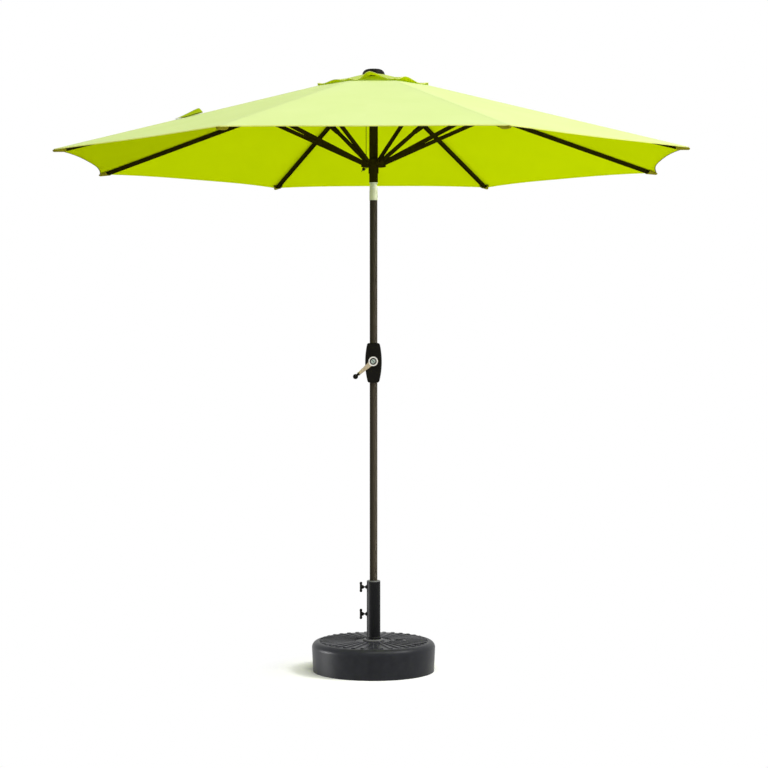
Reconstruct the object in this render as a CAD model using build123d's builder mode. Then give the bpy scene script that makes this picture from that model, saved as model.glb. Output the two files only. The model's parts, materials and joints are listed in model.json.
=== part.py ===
from build123d import *
import math
import os

# Patio umbrella on a fillable base. Millimetres and degrees, +Z up,
# origin on the floor under the pole. The front is -Y.

# Driving heights: the rib pivots, the tilt pin below them and the crank below that
hub_z = 2396.0
tilt_drop = 444.0
crank_drop = 702.0

# Clearances
running_gap = 0.05
fit_gap = 0.05
slide_gap = 0.4
swing_gap = 0.5
cloth_gap = 1.2
seam_gap = 0.3

# Base tank
tank_d = 500.0
tank_h = 120.0
tank_draft = 5.0
tank_wall = 4.0
tank_edge_r = 24.0
tank_rib_count = 36
tank_rib_h = 4.0
tank_rib_width_in = 7.0
tank_rib_width_out = 17.0
tank_rib_taper = 30.0
tank_rib_margin = 6.0
tank_plain_band = 28.0
well_floor = 12.0
water_headroom = 4.0

# Filler well and its cap
filler_x = 101.0
filler_r = 20.0
filler_wall = 4.0
filler_depth = 16.0
filler_ledge = 4.0
filler_lip_r = 31.0
filler_lip_h = 3.0
cap_head_h = 3.0
cap_plug_len = 10.0
cap_grip_inset = 4.0
cap_grip_width = 5.0
cap_grip_h = 4.0

# Stem, its collar, bush and clamp knobs
stem_r = 27.5
stem_wall = 2.0
stem_rise = 240.0
collar_r = 43.5
collar_sides = 6
collar_h = 8.0
collar_chamfer = 3.0
bush_len = 17.0
bush_flange_h = 4.0
bush_chamfer = 2.0
foot_ring_wall = 4.0
foot_ring_h = 10.0
upper_knob_drop = 23.0
lower_knob_drop = 132.0
boss_r = 10.5
boss_root = 0.2
boss_rise = 6.5
foot_flare = 3.0
foot_flare_h = 9.0
boss_taper = 37.0
stud_r = 3.0
stud_tip_gap = 0.3
stud_bare = 5.0
knob_hub_r = 10.5
knob_hub_len = 12.0
knob_hub_taper = 22.0
knob_wing_span = 41.0
knob_lobe_r = 5.5
knob_bar_r = 4.5
knob_wing_t = 11.0

# Poles
pole_r = 15.5
pole_wall = 1.6
top_pole_r = 17.5
plug_flange_h = 4.0
plug_spigot_len = 24.0

# Crank housing and its works
housing_up = 74.0
housing_down = 86.0
housing_half_top = 24.0
housing_half_mid = 33.0
housing_half_bottom = 22.0
housing_front_depth = 36.0
housing_rear_depth = 26.0
housing_corner_r = 9.0
housing_round = 5.0
housing_wall = 6.0
chamber_r = 21.0
pole_stop = 3.0
screw_x = 18.6
screw_inset = 24.0
screw_r = 1.6
screw_head_r = 3.2
screw_head_h = 2.2
screw_len = 34.0
screw_sink = 5.0
shaft_r = 4.0
shaft_end_gap = 2.0
bush_r = 7.0
bush_lip_r = 9.5
bush_lip_h = 1.5
drum_flange_r = 11.0
drum_flange_t = 2.0
drum_len = 22.0
drum_turns = 12
arm_t = 10.0
arm_gap = 1.5
arm_eye_r = 19.0
arm_root_r = 11.0
arm_tip_r = 7.0
arm_reach = 66.0
arm_angle = 220.8
arm_recess_r = 14.0
arm_recess_depth = 3.0
arm_screw_r = 2.2
arm_screw_head_r = 9.0
arm_screw_head_h = 2.5
arm_screw_len = 12.0
grip_lean = 35.0
grip_boss_r = 6.0
grip_boss_len = 14.0
grip_ring_r = 7.5
grip_ring_t = 2.5
grip_pin_r = 3.0
grip_pin_len = 22.0
grip_ball_r = 10.5
grip_neck_r = 5.0
grip_ball_reach = 19.0

# Tilt joint
knuckle_r = 16.8
knuckle_drop = 51.0
spigot_len = 34.0
tongue_r = 14.0
tongue_t = 10.0
tilt_pin_r = 3.0
tilt_pin_head_r = 4.0
tilt_pin_head_h = 0.3
shoulder_gap = 0.75
shoulder_h = 3.0
button_r = 4.5
button_drop = 36.0
button_proud = 0.3
button_len = 8.0
button_round = 0.6
spring_len = 6.0
spring_r = 3.6
spring_wire = 1.2

# Lift cord and pulley
cord_r = 1.25
cord_fall_x = -30.0
cord_hole_r = 1.8
pulley_t = 5.0
pulley_lip = 1.4
pulley_gap = 0.7
pulley_drop = 33.0
axle_r = 2.0
knot_r = 7.5
knot_out = 10.0
knot_drop = 9.5

# Top hub and finial
rib_count = 8
first_rib_azimuth = 22.5
pivot_radius = 42.0
pivot_pin_r = 2.5
pivot_pin_len = 21.0
hub_r = 50.0
hub_up = 8.0
hub_down = 14.0
hub_skirt_r = 24.0
hub_skirt_len = 38.0
hub_web = 10.0
slot_width = 9.0
slot_back = 9.0
finial_r = 45.5
finial_h = 26.0
finial_rim_h = 6.0
finial_crown_r = 29.0
finial_bulge = 3.0
finial_shoulder_drop = 7.3
finial_stud_r = 4.0

# Runner
runner_up = 13.0
runner_down = 13.0
runner_sleeve_up = 10.0
runner_sleeve_down = 40.0
runner_wall = 2.6

# Ribs, struts and strut brackets
rib_slope = 15.5
rib_width = 12.0
rib_height = 16.0
rib_wall = 1.2
rib_neck_width = 8.0
rib_neck_height = 14.0
rib_neck_len = 24.0
rib_neck_lap = 36.0
rib_tip_len = 50.0
rib_tip_width = 8.0
rib_tip_height = 6.0
rib_tip_round = 2.0
rib_tip_inset = 4.0
strut_place = 417.0
strut_drop = 64.0
strut_width = 8.0
strut_height = 16.0
strut_wall = 1.2
strut_end = 16.0
bracket_len = 28.0
bracket_width = 14.0
bracket_plate_t = 3.0
bracket_ear_t = 2.2

# Canopy and vent
canopy_r = 1300.0
canopy_t = 0.8
canopy_inner_r = 110.0
hem_sag = 38.0
vent_r = 240.0
vent_mid_r = 222.0
vent_inner_gap = 6.0
vent_lift = 22.0
vent_bow = 0.5
vent_gap = 0.6
overhang = 3.0

# Values worked out from the sizes above
tilt_z = hub_z - tilt_drop
crank_z = tilt_z - crank_drop
tank_r = tank_d / 2
stem_top = tank_h + stem_rise
stem_bore_r = stem_r - stem_wall
pole_bore_r = pole_r - pole_wall
top_pole_bore_r = top_pole_r - pole_wall
lower_pole_top = crank_z - chamber_r - pole_stop
mid_pole_bottom = crank_z + chamber_r + pole_stop
knuckle_bottom = tilt_z - knuckle_drop
shoulder_z = tilt_z + knuckle_r + shoulder_gap
half_step = 180.0 / rib_count
slope = math.radians(rib_slope)
half = math.radians(half_step)
strut_len = math.hypot(strut_place, strut_drop)
strut_angle = slope + math.atan2(strut_drop, strut_place)
bracket_place = strut_place + (strut_drop - rib_height / 2) / math.tan(slope + strut_angle)
runner_z = hub_z - 2 * strut_len * math.sin(strut_angle)
rib_len = (canopy_r - rib_tip_inset - pivot_radius) / math.cos(slope) - rib_tip_len
runner_bore_r = top_pole_r + slide_gap

# The lift cord winds a whole number of turns as the runner comes down by closed_drop
fold_angle = 67.5
closed_angle = strut_angle + math.radians(fold_angle)
closed_drop = 2 * strut_len * (math.sin(closed_angle) - math.sin(strut_angle))
cord_wind_r = closed_drop / (2 * math.pi * drum_turns)
cord_x = -cord_wind_r
drum_r = cord_wind_r - cord_r - fit_gap
pulley_pitch_r = (cord_x - cord_fall_x) / 2
pulley_x = (cord_x + cord_fall_x) / 2
pulley_z = hub_z - pulley_drop
pulley_r = pulley_pitch_r + pulley_lip
cord_split_z = tilt_z - tongue_r

os.makedirs("parts", exist_ok=True)


def save(piece, name):
    """Label a finished piece and write it as its own node."""
    piece.label = name
    export_step(piece, f"parts/{name}.step")


def azimuth(k):
    """Direction of rib k around the pole, in radians."""
    return math.radians(first_rib_azimuth + k * 2 * half_step)


def radial(angle, out, up):
    """Vector that points out along an azimuth and up."""
    return Vector(out * math.cos(angle), out * math.sin(angle), up)


def tangent(angle):
    """Level direction square to an azimuth."""
    return Vector(-math.sin(angle), math.cos(angle), 0)


def pivot_plane(k, height):
    """Plane across a pivot pin of rib or strut k, with the pin along its normal."""
    return Plane(
        origin=radial(azimuth(k), pivot_radius, height),
        x_dir=(0, 0, 1),
        z_dir=tangent(azimuth(k)),
    )


def rib_frame(k):
    """Frame of rib k: origin on its hub pivot, X out along the rib, Z up from it."""
    return Plane(
        origin=radial(azimuth(k), pivot_radius, hub_z),
        x_dir=radial(azimuth(k), math.cos(slope), -math.sin(slope)),
        z_dir=radial(azimuth(k), math.sin(slope), math.cos(slope)),
    )


def strut_frame(k):
    """Frame of strut k: origin on its bracket pivot, X down along it to the runner."""
    place = radial(
        azimuth(k),
        pivot_radius + strut_len * math.cos(strut_angle),
        hub_z - strut_len * math.sin(strut_angle),
    )
    return Plane(
        origin=place,
        x_dir=radial(azimuth(k), -math.cos(strut_angle), -math.sin(strut_angle)),
        z_dir=radial(azimuth(k), -math.sin(strut_angle), math.cos(strut_angle)),
    )


# Base tank: a drafted shell with radial ribs, a well for the stem and a filler neck
tank_rib_in = collar_r + tank_plain_band
tank_rib_out = tank_r - tank_edge_r - tank_rib_margin
ledge_z = tank_h - filler_depth + filler_ledge
with BuildPart() as base_tank:
    with BuildSketch(Plane.XZ) as tank_profile:
        with BuildLine():
            Polyline((0, 0), (tank_r - tank_draft, 0), (tank_r, tank_h), (0, tank_h), close=True)
        make_face()
        fillet(tank_profile.vertices().sort_by(Axis.X)[-1], tank_edge_r)
    revolve(axis=Axis.Z)
    with BuildSketch(Plane.XY.offset(tank_h)):
        with PolarLocations(0, tank_rib_count):
            Polygon(
                (tank_rib_in, -tank_rib_width_in / 2),
                (tank_rib_out, -tank_rib_width_out / 2),
                (tank_rib_out, tank_rib_width_out / 2),
                (tank_rib_in, tank_rib_width_in / 2),
                align=None,
            )
    extrude(amount=tank_rib_h, taper=tank_rib_taper)
    with BuildSketch(Plane.XY.offset(tank_h)) as filler_pad:
        with Locations((filler_x, 0)):
            Circle(filler_lip_r)
    extrude(amount=tank_rib_h + filler_lip_h, mode=Mode.SUBTRACT)
    extrude(filler_pad.sketch, amount=filler_lip_h)
    with BuildSketch(Plane.XZ):
        with BuildLine():
            Polyline(
                (stem_r + fit_gap + tank_wall, tank_wall),
                (tank_r - tank_draft - tank_wall, tank_wall),
                (tank_r - tank_wall, tank_h - tank_edge_r),
                (tank_r - tank_edge_r, tank_h - tank_wall),
                (stem_r + fit_gap + tank_wall, tank_h - tank_wall),
                close=True,
            )
        make_face()
    revolve(axis=Axis.Z, mode=Mode.SUBTRACT)
    with BuildSketch(Plane.XY.offset(well_floor)):
        Circle(stem_r + fit_gap)
    extrude(amount=tank_h - well_floor, mode=Mode.SUBTRACT)
    with BuildSketch(Plane.XY.offset(well_floor)):
        Circle(pole_r + slide_gap + foot_ring_wall)
        Circle(pole_r + slide_gap, mode=Mode.SUBTRACT)
    extrude(amount=foot_ring_h)
    with BuildSketch(Plane.XY.offset(tank_h - filler_depth)):
        with Locations((filler_x, 0)):
            Circle(filler_r + filler_wall)
    extrude(amount=filler_depth)
    with BuildSketch(Plane.XY.offset(ledge_z)):
        with Locations((filler_x, 0)):
            Circle(filler_r)
    extrude(amount=tank_h + filler_lip_h - ledge_z, mode=Mode.SUBTRACT)
    with BuildSketch(Plane.XY.offset(tank_h - filler_depth)):
        with Locations((filler_x, 0)):
            Circle(filler_r - filler_ledge)
    extrude(amount=filler_ledge, mode=Mode.SUBTRACT)
save(base_tank.part, "base_tank")

# Water that weighs the tank down
with BuildPart() as ballast_water:
    with BuildSketch(Plane.XY.offset(tank_wall)):
        Circle(tank_r - tank_draft - tank_wall - swing_gap)
        Circle(stem_r + fit_gap + tank_wall + swing_gap, mode=Mode.SUBTRACT)
    extrude(amount=ledge_z - cap_plug_len - water_headroom - tank_wall)
save(ballast_water.part, "ballast_water")

# Filler cap: a head on the ledge, a plug under it and a bar to lift it by
with BuildPart() as fill_cap:
    with BuildSketch(Plane.XY.offset(ledge_z)):
        with Locations((filler_x, 0)):
            Circle(filler_r - slide_gap)
    extrude(amount=cap_head_h)
    with BuildSketch(Plane.XY.offset(ledge_z)):
        with Locations((filler_x, 0)):
            Circle(filler_r - filler_ledge - slide_gap)
    extrude(amount=-cap_plug_len)
    with BuildSketch(Plane.XY.offset(ledge_z + cap_head_h)):
        with Locations((filler_x, 0)):
            SlotOverall(2 * (filler_r - cap_grip_inset), cap_grip_width)
    extrude(amount=cap_grip_h)
save(fill_cap.part, "fill_cap")

# Stem tube with a threaded boss for each clamp knob
knob_heights = {
    "upper_clamp_knob": stem_top - upper_knob_drop,
    "lower_clamp_knob": stem_top - lower_knob_drop,
}
boss_start = stem_bore_r + boss_root
boss_tip = stem_r + boss_rise
with BuildPart() as stem_tube:
    with BuildSketch(Plane.XY.offset(well_floor)):
        Circle(stem_r)
        Circle(stem_bore_r, mode=Mode.SUBTRACT)
    extrude(amount=stem_top - well_floor)
    with BuildSketch(Plane.XY.offset(tank_h + collar_h)):
        Circle(stem_r + foot_flare)
        Circle(stem_bore_r, mode=Mode.SUBTRACT)
    extrude(amount=foot_flare_h)
    chamfer(stem_tube.edges().filter_by(GeomType.CIRCLE).sort_by(SortBy.RADIUS)[-1], foot_flare - fit_gap)
    for knob_z in knob_heights.values():
        with BuildSketch(Plane(origin=(-boss_start, 0, knob_z), z_dir=(-1, 0, 0))):
            Circle(boss_r)
        extrude(amount=boss_tip - boss_start, taper=boss_taper)
    for knob_z in knob_heights.values():
        with BuildSketch(Plane(origin=(0, 0, knob_z), z_dir=(-1, 0, 0))):
            Circle(stud_r + running_gap)
        extrude(amount=boss_tip, mode=Mode.SUBTRACT)
save(stem_tube.part, "stem_tube")

# Six-sided collar at the foot of the stem
with BuildPart() as stem_collar:
    with BuildSketch(Plane.XY.offset(tank_h)):
        RegularPolygon(collar_r, collar_sides)
        Circle(stem_r + fit_gap, mode=Mode.SUBTRACT)
    extrude(amount=collar_h)
    chamfer(stem_collar.edges().group_by(Axis.Z)[-1].filter_by(GeomType.LINE), collar_chamfer)
save(stem_collar.part, "stem_collar")

# Bush that centres the pole in the stem's mouth
with BuildPart() as stem_bush:
    with BuildSketch(Plane.XY.offset(stem_top)):
        Circle(stem_r)
    extrude(amount=bush_flange_h)
    with BuildSketch(Plane.XY.offset(stem_top)):
        Circle(stem_bore_r - fit_gap)
    extrude(amount=-bush_len)
    with BuildSketch(Plane.XY.offset(stem_top - bush_len)):
        Circle(pole_r + slide_gap)
    extrude(amount=bush_len + bush_flange_h, mode=Mode.SUBTRACT)
    chamfer(stem_bush.edges().group_by(Axis.Z)[-1].sort_by(SortBy.RADIUS)[-1], bush_chamfer)
save(stem_bush.part, "stem_bush")

# Clamp knobs: a lobed bar on a tapered hub, with a threaded stud that points at the pole
knob_hub_x = boss_tip + stud_bare
knob_wing_x = knob_hub_x + knob_hub_len
for knob_name, knob_z in knob_heights.items():
    stud_tip = pole_r + stud_tip_gap
    with BuildPart() as clamp_knob:
        with BuildSketch(Plane(origin=(-stud_tip, 0, knob_z), z_dir=(-1, 0, 0))):
            Circle(stud_r)
        extrude(amount=knob_wing_x - stud_tip)
        with BuildSketch(Plane(origin=(-knob_wing_x, 0, knob_z), z_dir=(1, 0, 0))):
            Circle(knob_hub_r)
        extrude(amount=knob_hub_len, taper=knob_hub_taper)
        lobe_z = knob_wing_span / 2 - knob_lobe_r
        with BuildSketch(Plane.XZ.offset(-knob_wing_t / 2)):
            with Locations((-knob_wing_x, knob_z)):
                Rectangle(2 * knob_bar_r, 2 * lobe_z)
            with Locations((-knob_wing_x, knob_z + lobe_z), (-knob_wing_x, knob_z - lobe_z)):
                Circle(knob_lobe_r)
        extrude(amount=knob_wing_t)
    save(clamp_knob.part, knob_name)

# Plug in the foot of the pole
with BuildPart() as pole_plug:
    with BuildSketch(Plane.XY.offset(well_floor)):
        Circle(pole_r)
    extrude(amount=plug_flange_h)
    with BuildSketch(Plane.XY.offset(well_floor + plug_flange_h)):
        Circle(pole_bore_r - running_gap)
    extrude(amount=plug_spigot_len)
save(pole_plug.part, "pole_plug")

# Lower pole, from the plug to the crank housing
with BuildPart() as lower_pole:
    with BuildSketch(Plane.XY.offset(well_floor + plug_flange_h)):
        Circle(pole_r)
        Circle(pole_bore_r, mode=Mode.SUBTRACT)
    extrude(amount=lower_pole_top - well_floor - plug_flange_h)
save(lower_pole.part, "lower_pole")

# Mid pole, from the crank housing to the tilt joint
with BuildPart() as mid_pole:
    with BuildSketch(Plane.XY.offset(mid_pole_bottom)):
        Circle(pole_r)
        Circle(pole_bore_r, mode=Mode.SUBTRACT)
    extrude(amount=knuckle_bottom - mid_pole_bottom)
save(mid_pole.part, "mid_pole")

# Crank housing: two boat-shaped shells that meet on the pole's axis
housing_top = crank_z + housing_up
housing_bottom = crank_z - housing_down
screw_places = (
    (screw_x, housing_top - screw_inset),
    (-screw_x, housing_top - screw_inset),
    (screw_x, housing_bottom + screw_inset),
    (-screw_x, housing_bottom + screw_inset),
)
with BuildSketch(Plane.XZ) as housing_outline:
    with BuildLine():
        ThreePointArc(
            (housing_half_bottom, housing_bottom),
            (housing_half_mid, crank_z),
            (housing_half_top, housing_top),
        )
        Line((housing_half_top, housing_top), (-housing_half_top, housing_top))
        ThreePointArc(
            (-housing_half_top, housing_top),
            (-housing_half_mid, crank_z),
            (-housing_half_bottom, housing_bottom),
        )
        Line((-housing_half_bottom, housing_bottom), (housing_half_bottom, housing_bottom))
    make_face()
    fillet(housing_outline.vertices(), housing_corner_r)

for shell_name, depth, toward in (
    ("crank_housing_front", housing_front_depth, 1),
    ("crank_housing_rear", housing_rear_depth, -1),
):
    with BuildPart() as shell:
        extrude(housing_outline.sketch, amount=toward * depth)
        face = shell.faces().sort_by(Axis.Y)[0 if toward > 0 else -1]
        fillet(face.edges(), housing_round)
        with BuildSketch(Plane.XY.offset(housing_bottom)):
            Circle(pole_r + fit_gap)
        extrude(amount=lower_pole_top - housing_bottom, mode=Mode.SUBTRACT)
        with BuildSketch(Plane.XY.offset(mid_pole_bottom)):
            Circle(pole_r + fit_gap)
        extrude(amount=housing_top - mid_pole_bottom, mode=Mode.SUBTRACT)
        with BuildSketch(Plane.XZ):
            with Locations((0, crank_z)):
                Circle(chamber_r)
        extrude(amount=toward * (depth - housing_wall), mode=Mode.SUBTRACT)
        with BuildSketch(Plane.XY.offset(crank_z)):
            with Locations((cord_x, 0)):
                Circle(cord_hole_r)
        extrude(amount=mid_pole_bottom - crank_z, mode=Mode.SUBTRACT)
        with BuildSketch(Plane.XZ):
            with Locations((0, crank_z)):
                Circle(bush_r + fit_gap)
        extrude(amount=toward * depth, mode=Mode.SUBTRACT)
        with BuildSketch(Plane.XZ):
            with Locations(*screw_places):
                Circle(screw_r + fit_gap)
        extrude(amount=toward * (depth if toward < 0 else screw_len), mode=Mode.SUBTRACT)
        if toward < 0:
            with BuildSketch(Plane.XZ.offset(-(depth - screw_sink))):
                with Locations(*screw_places):
                    Circle(screw_head_r + fit_gap)
            extrude(amount=-screw_sink, mode=Mode.SUBTRACT)
    save(shell.part, shell_name)

# Four screws that hold the shells together, driven from the rear
with BuildPart() as housing_screws:
    with BuildSketch(Plane.XZ.offset(-(housing_rear_depth - screw_sink))):
        with Locations(*screw_places):
            Circle(screw_r)
    extrude(amount=screw_len)
    with BuildSketch(Plane.XZ.offset(-(housing_rear_depth - screw_sink))):
        with Locations(*screw_places):
            Circle(screw_head_r)
    extrude(amount=-screw_head_h)
save(housing_screws.part, "housing_screws")

# Two lipped bushes that carry the crank shaft, one in each shell
with BuildPart() as shaft_bushes:
    for depth, toward in ((housing_front_depth, 1), (housing_rear_depth, -1)):
        inner_face = Plane.XZ.offset(toward * (depth - housing_wall))
        with BuildSketch(inner_face):
            with Locations((0, crank_z)):
                Circle(bush_r)
        extrude(amount=toward * housing_wall)
        with BuildSketch(inner_face):
            with Locations((0, crank_z)):
                Circle(bush_lip_r)
        extrude(amount=-toward * bush_lip_h)
    with BuildSketch(Plane.XZ):
        with Locations((0, crank_z)):
            Circle(shaft_r + running_gap)
    extrude(amount=housing_front_depth, both=True, mode=Mode.SUBTRACT)
save(shaft_bushes.part, "shaft_bushes")

# Crank shaft, with a tapped end for the arm's screw
arm_back = housing_front_depth + arm_gap
shaft_front = arm_back + arm_t - arm_recess_depth
shaft_rear = housing_rear_depth - shaft_end_gap
with BuildPart() as crank_shaft:
    with BuildSketch(Plane.XZ.offset(-shaft_rear)):
        with Locations((0, crank_z)):
            Circle(shaft_r)
    extrude(amount=shaft_front + shaft_rear)
    with BuildSketch(Plane.XZ.offset(shaft_front)):
        with Locations((0, crank_z)):
            Circle(arm_screw_r + fit_gap)
    extrude(amount=-arm_screw_len, mode=Mode.SUBTRACT)
save(crank_shaft.part, "crank_shaft")

# Drum that winds the lift cord
with BuildPart() as cord_drum:
    with BuildSketch(Plane.XZ.offset(-drum_len / 2)):
        with Locations((0, crank_z)):
            Circle(drum_r)
    extrude(amount=drum_len)
    with BuildSketch(Plane.XZ.offset(-drum_len / 2), Plane.XZ.offset(drum_len / 2 - drum_flange_t)):
        with Locations((0, crank_z)):
            Circle(drum_flange_r)
    extrude(amount=drum_flange_t)
    with BuildSketch(Plane.XZ):
        with Locations((0, crank_z)):
            Circle(shaft_r + fit_gap)
    extrude(amount=drum_len, both=True, mode=Mode.SUBTRACT)
save(cord_drum.part, "cord_drum")

# Crank arm: a round recessed eye, a narrower tapered bar and a leaning pin for the grip
arm_turn = math.radians(arm_angle)
lean = math.radians(grip_lean)
arm_tip_x = arm_reach * math.cos(arm_turn)
arm_tip_z = crank_z + arm_reach * math.sin(arm_turn)
arm_front = arm_back + arm_t
grip_dir = Vector(
    math.cos(lean) * math.cos(arm_turn),
    -math.sin(lean),
    math.cos(lean) * math.sin(arm_turn),
)
grip_frame = Plane(
    origin=(arm_tip_x, -arm_back - arm_t / 2, arm_tip_z),
    x_dir=(-math.sin(arm_turn), 0, math.cos(arm_turn)),
    z_dir=grip_dir,
)
with BuildPart() as crank_arm:
    with BuildSketch(Plane.XZ.offset(arm_back)):
        with Locations((0, crank_z)):
            Circle(arm_root_r)
        with Locations((arm_tip_x, arm_tip_z)):
            Circle(arm_tip_r)
        make_hull()
        with Locations((0, crank_z)):
            Circle(arm_eye_r)
    extrude(amount=arm_t)
    with BuildSketch(Plane.XZ.offset(arm_front)):
        with Locations((0, crank_z)):
            Circle(arm_recess_r)
    extrude(amount=-arm_recess_depth, mode=Mode.SUBTRACT)
    with BuildSketch(Plane.XZ.offset(arm_back)):
        with Locations((0, crank_z)):
            Circle(shaft_r + fit_gap)
    extrude(amount=arm_t, mode=Mode.SUBTRACT)
    with BuildSketch(grip_frame):
        Circle(grip_boss_r)
    extrude(amount=grip_boss_len)
    with BuildSketch(grip_frame.offset(grip_boss_len - grip_ring_t)):
        Circle(grip_ring_r)
    extrude(amount=grip_ring_t)
    with BuildSketch(grip_frame.offset(grip_boss_len)):
        Circle(grip_pin_r)
    extrude(amount=grip_pin_len)
save(crank_arm.part, "crank_arm")

# Screw that holds the arm on the shaft
with BuildPart() as arm_screw:
    with BuildSketch(Plane.XZ.offset(shaft_front)):
        with Locations((0, crank_z)):
            Circle(arm_screw_head_r)
    extrude(amount=arm_screw_head_h)
    with BuildSketch(Plane.XZ.offset(shaft_front)):
        with Locations((0, crank_z)):
            Circle(arm_screw_r)
    extrude(amount=-arm_screw_len)
save(arm_screw.part, "arm_screw")

# Grip that spins on the arm's pin: a ball on a short neck
grip_start = grip_frame.offset(grip_boss_len + slide_gap)
neck_end = grip_ball_reach - math.sqrt(grip_ball_r**2 - grip_neck_r**2)
with BuildPart() as crank_grip:
    with BuildSketch(Plane(grip_start.origin, grip_start.x_dir, grip_start.x_dir.cross(grip_dir))):
        with BuildLine():
            Polyline((0, 0), (grip_neck_r, 0), (grip_neck_r, neck_end))
            ThreePointArc(
                (grip_neck_r, neck_end),
                (grip_ball_r, grip_ball_reach),
                (0, grip_ball_reach + grip_ball_r),
            )
            Line((0, grip_ball_reach + grip_ball_r), (0, 0))
        make_face()
    revolve(axis=Axis(grip_start.origin, grip_dir))
    with BuildSketch(grip_start):
        Circle(grip_pin_r + running_gap)
    extrude(amount=grip_pin_len, mode=Mode.SUBTRACT)
save(crank_grip.part, "crank_grip")

# Lower tilt knuckle: a fork with rounded cheeks on a spigot in the mid pole
slot_floor = tilt_z - tongue_r - swing_gap
button_z = tilt_z - button_drop
bore_depth = button_len - button_proud + spring_len
with BuildPart() as tilt_lower_knuckle:
    with BuildSketch(Plane.XY.offset(knuckle_bottom)):
        Circle(knuckle_r)
    extrude(amount=knuckle_drop + knuckle_r)
    with BuildSketch(Plane.XZ):
        with Locations((0, tilt_z)):
            Circle(knuckle_r)
        with Locations((0, tilt_z - knuckle_drop / 2)):
            Rectangle(2 * knuckle_r, knuckle_drop)
    extrude(amount=knuckle_r, both=True, mode=Mode.INTERSECT)
    with BuildSketch(Plane.XY.offset(knuckle_bottom)):
        Circle(pole_bore_r - fit_gap)
    extrude(amount=-spigot_len)
    with BuildSketch(Plane.XY.offset(slot_floor)):
        Rectangle(4 * knuckle_r, tongue_t + 2 * slide_gap)
    extrude(amount=2 * knuckle_r, mode=Mode.SUBTRACT)
    with BuildSketch(Plane.XZ):
        with Locations((0, tilt_z)):
            Circle(tilt_pin_r + fit_gap)
    extrude(amount=2 * knuckle_r, both=True, mode=Mode.SUBTRACT)
    with BuildSketch(Plane.XY.offset(knuckle_bottom - spigot_len)):
        with Locations((cord_x, 0)):
            Circle(cord_hole_r)
    extrude(amount=spigot_len + knuckle_drop, mode=Mode.SUBTRACT)
    with BuildSketch(Plane(origin=(knuckle_r, 0, button_z), z_dir=(1, 0, 0))):
        Circle(button_r + running_gap)
    extrude(amount=-bore_depth, mode=Mode.SUBTRACT)
    with BuildSketch(Plane(origin=(knuckle_r, 0, button_z), z_dir=(1, 0, 0))):
        Circle(button_r + running_gap)
    extrude(amount=button_proud, mode=Mode.SUBTRACT)
save(tilt_lower_knuckle.part, "tilt_lower_knuckle")

# Tilt pin with a low head at each end
with BuildPart() as tilt_pin:
    with BuildSketch(Plane.XZ):
        with Locations((0, tilt_z)):
            Circle(tilt_pin_r)
    extrude(amount=knuckle_r + fit_gap, both=True)
    for toward in (1, -1):
        with BuildSketch(Plane.XZ.offset(toward * (knuckle_r + fit_gap))):
            with Locations((0, tilt_z)):
                Circle(tilt_pin_head_r)
        extrude(amount=toward * tilt_pin_head_h)
save(tilt_pin.part, "tilt_pin")

# Push button that frees the tilt, and the spring behind it
button_tip = knuckle_r + button_proud
with BuildPart() as tilt_button:
    with BuildSketch(Plane(origin=(button_tip, 0, button_z), z_dir=(1, 0, 0))):
        Circle(button_r)
    extrude(amount=-button_len)
    fillet(tilt_button.faces().sort_by(Axis.X)[-1].edges(), button_round)
save(tilt_button.part, "tilt_button")

with BuildPart() as button_spring:
    with BuildSketch(Plane(origin=(button_tip - button_len, 0, button_z), z_dir=(1, 0, 0))):
        Circle(spring_r)
        Circle(spring_r - spring_wire, mode=Mode.SUBTRACT)
    extrude(amount=-spring_len)
save(button_spring.part, "button_spring")

# Upper tilt knuckle: a tongue under a shoulder, with a spigot in the top pole
with BuildPart() as tilt_upper_knuckle:
    with BuildSketch(Plane.XY.offset(shoulder_z)):
        Circle(top_pole_r)
    extrude(amount=shoulder_h)
    with BuildSketch(Plane.XY.offset(shoulder_z + shoulder_h)):
        Circle(top_pole_bore_r - fit_gap)
    extrude(amount=spigot_len)
    with BuildSketch(Plane.XZ):
        with Locations((0, tilt_z)):
            Circle(tongue_r)
        with Locations((0, (tilt_z + shoulder_z) / 2)):
            Rectangle(2 * tongue_r, shoulder_z - tilt_z)
    extrude(amount=tongue_t / 2, both=True)
    with BuildSketch(Plane.XZ):
        with Locations((0, tilt_z)):
            Circle(tilt_pin_r + running_gap)
    extrude(amount=tongue_t, both=True, mode=Mode.SUBTRACT)
    with BuildSketch(Plane.XY.offset(tilt_z - tongue_r)):
        with Locations((cord_x, 0)):
            Circle(cord_hole_r)
    extrude(amount=2 * tongue_r + shoulder_h + spigot_len + shoulder_gap + knuckle_r, mode=Mode.SUBTRACT)
save(tilt_upper_knuckle.part, "tilt_upper_knuckle")

# Top pole, slotted for the pulley
top_pole_bottom = shoulder_z + shoulder_h
top_pole_top = hub_z + hub_up - hub_web
pulley_slot = pulley_t + 2 * pulley_gap
pulley_slot_top = pulley_z + pulley_r + cord_r + pulley_gap
pulley_slot_bottom = pulley_z - pulley_r - cord_r - pulley_gap
with BuildPart() as top_pole:
    with BuildSketch(Plane.XY.offset(top_pole_bottom)):
        Circle(top_pole_r)
        Circle(top_pole_bore_r, mode=Mode.SUBTRACT)
    extrude(amount=top_pole_top - top_pole_bottom)
    with BuildSketch(Plane.XY.offset(pulley_slot_bottom)):
        with Locations((-top_pole_r, 0)):
            Rectangle(2 * pole_r, pulley_slot)
    extrude(amount=pulley_slot_top - pulley_slot_bottom, mode=Mode.SUBTRACT)
    with BuildSketch(Plane.XZ):
        with Locations((pulley_x, pulley_z)):
            Circle(axle_r + fit_gap)
    extrude(amount=top_pole_r, both=True, mode=Mode.SUBTRACT)
save(top_pole.part, "top_pole")

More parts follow.
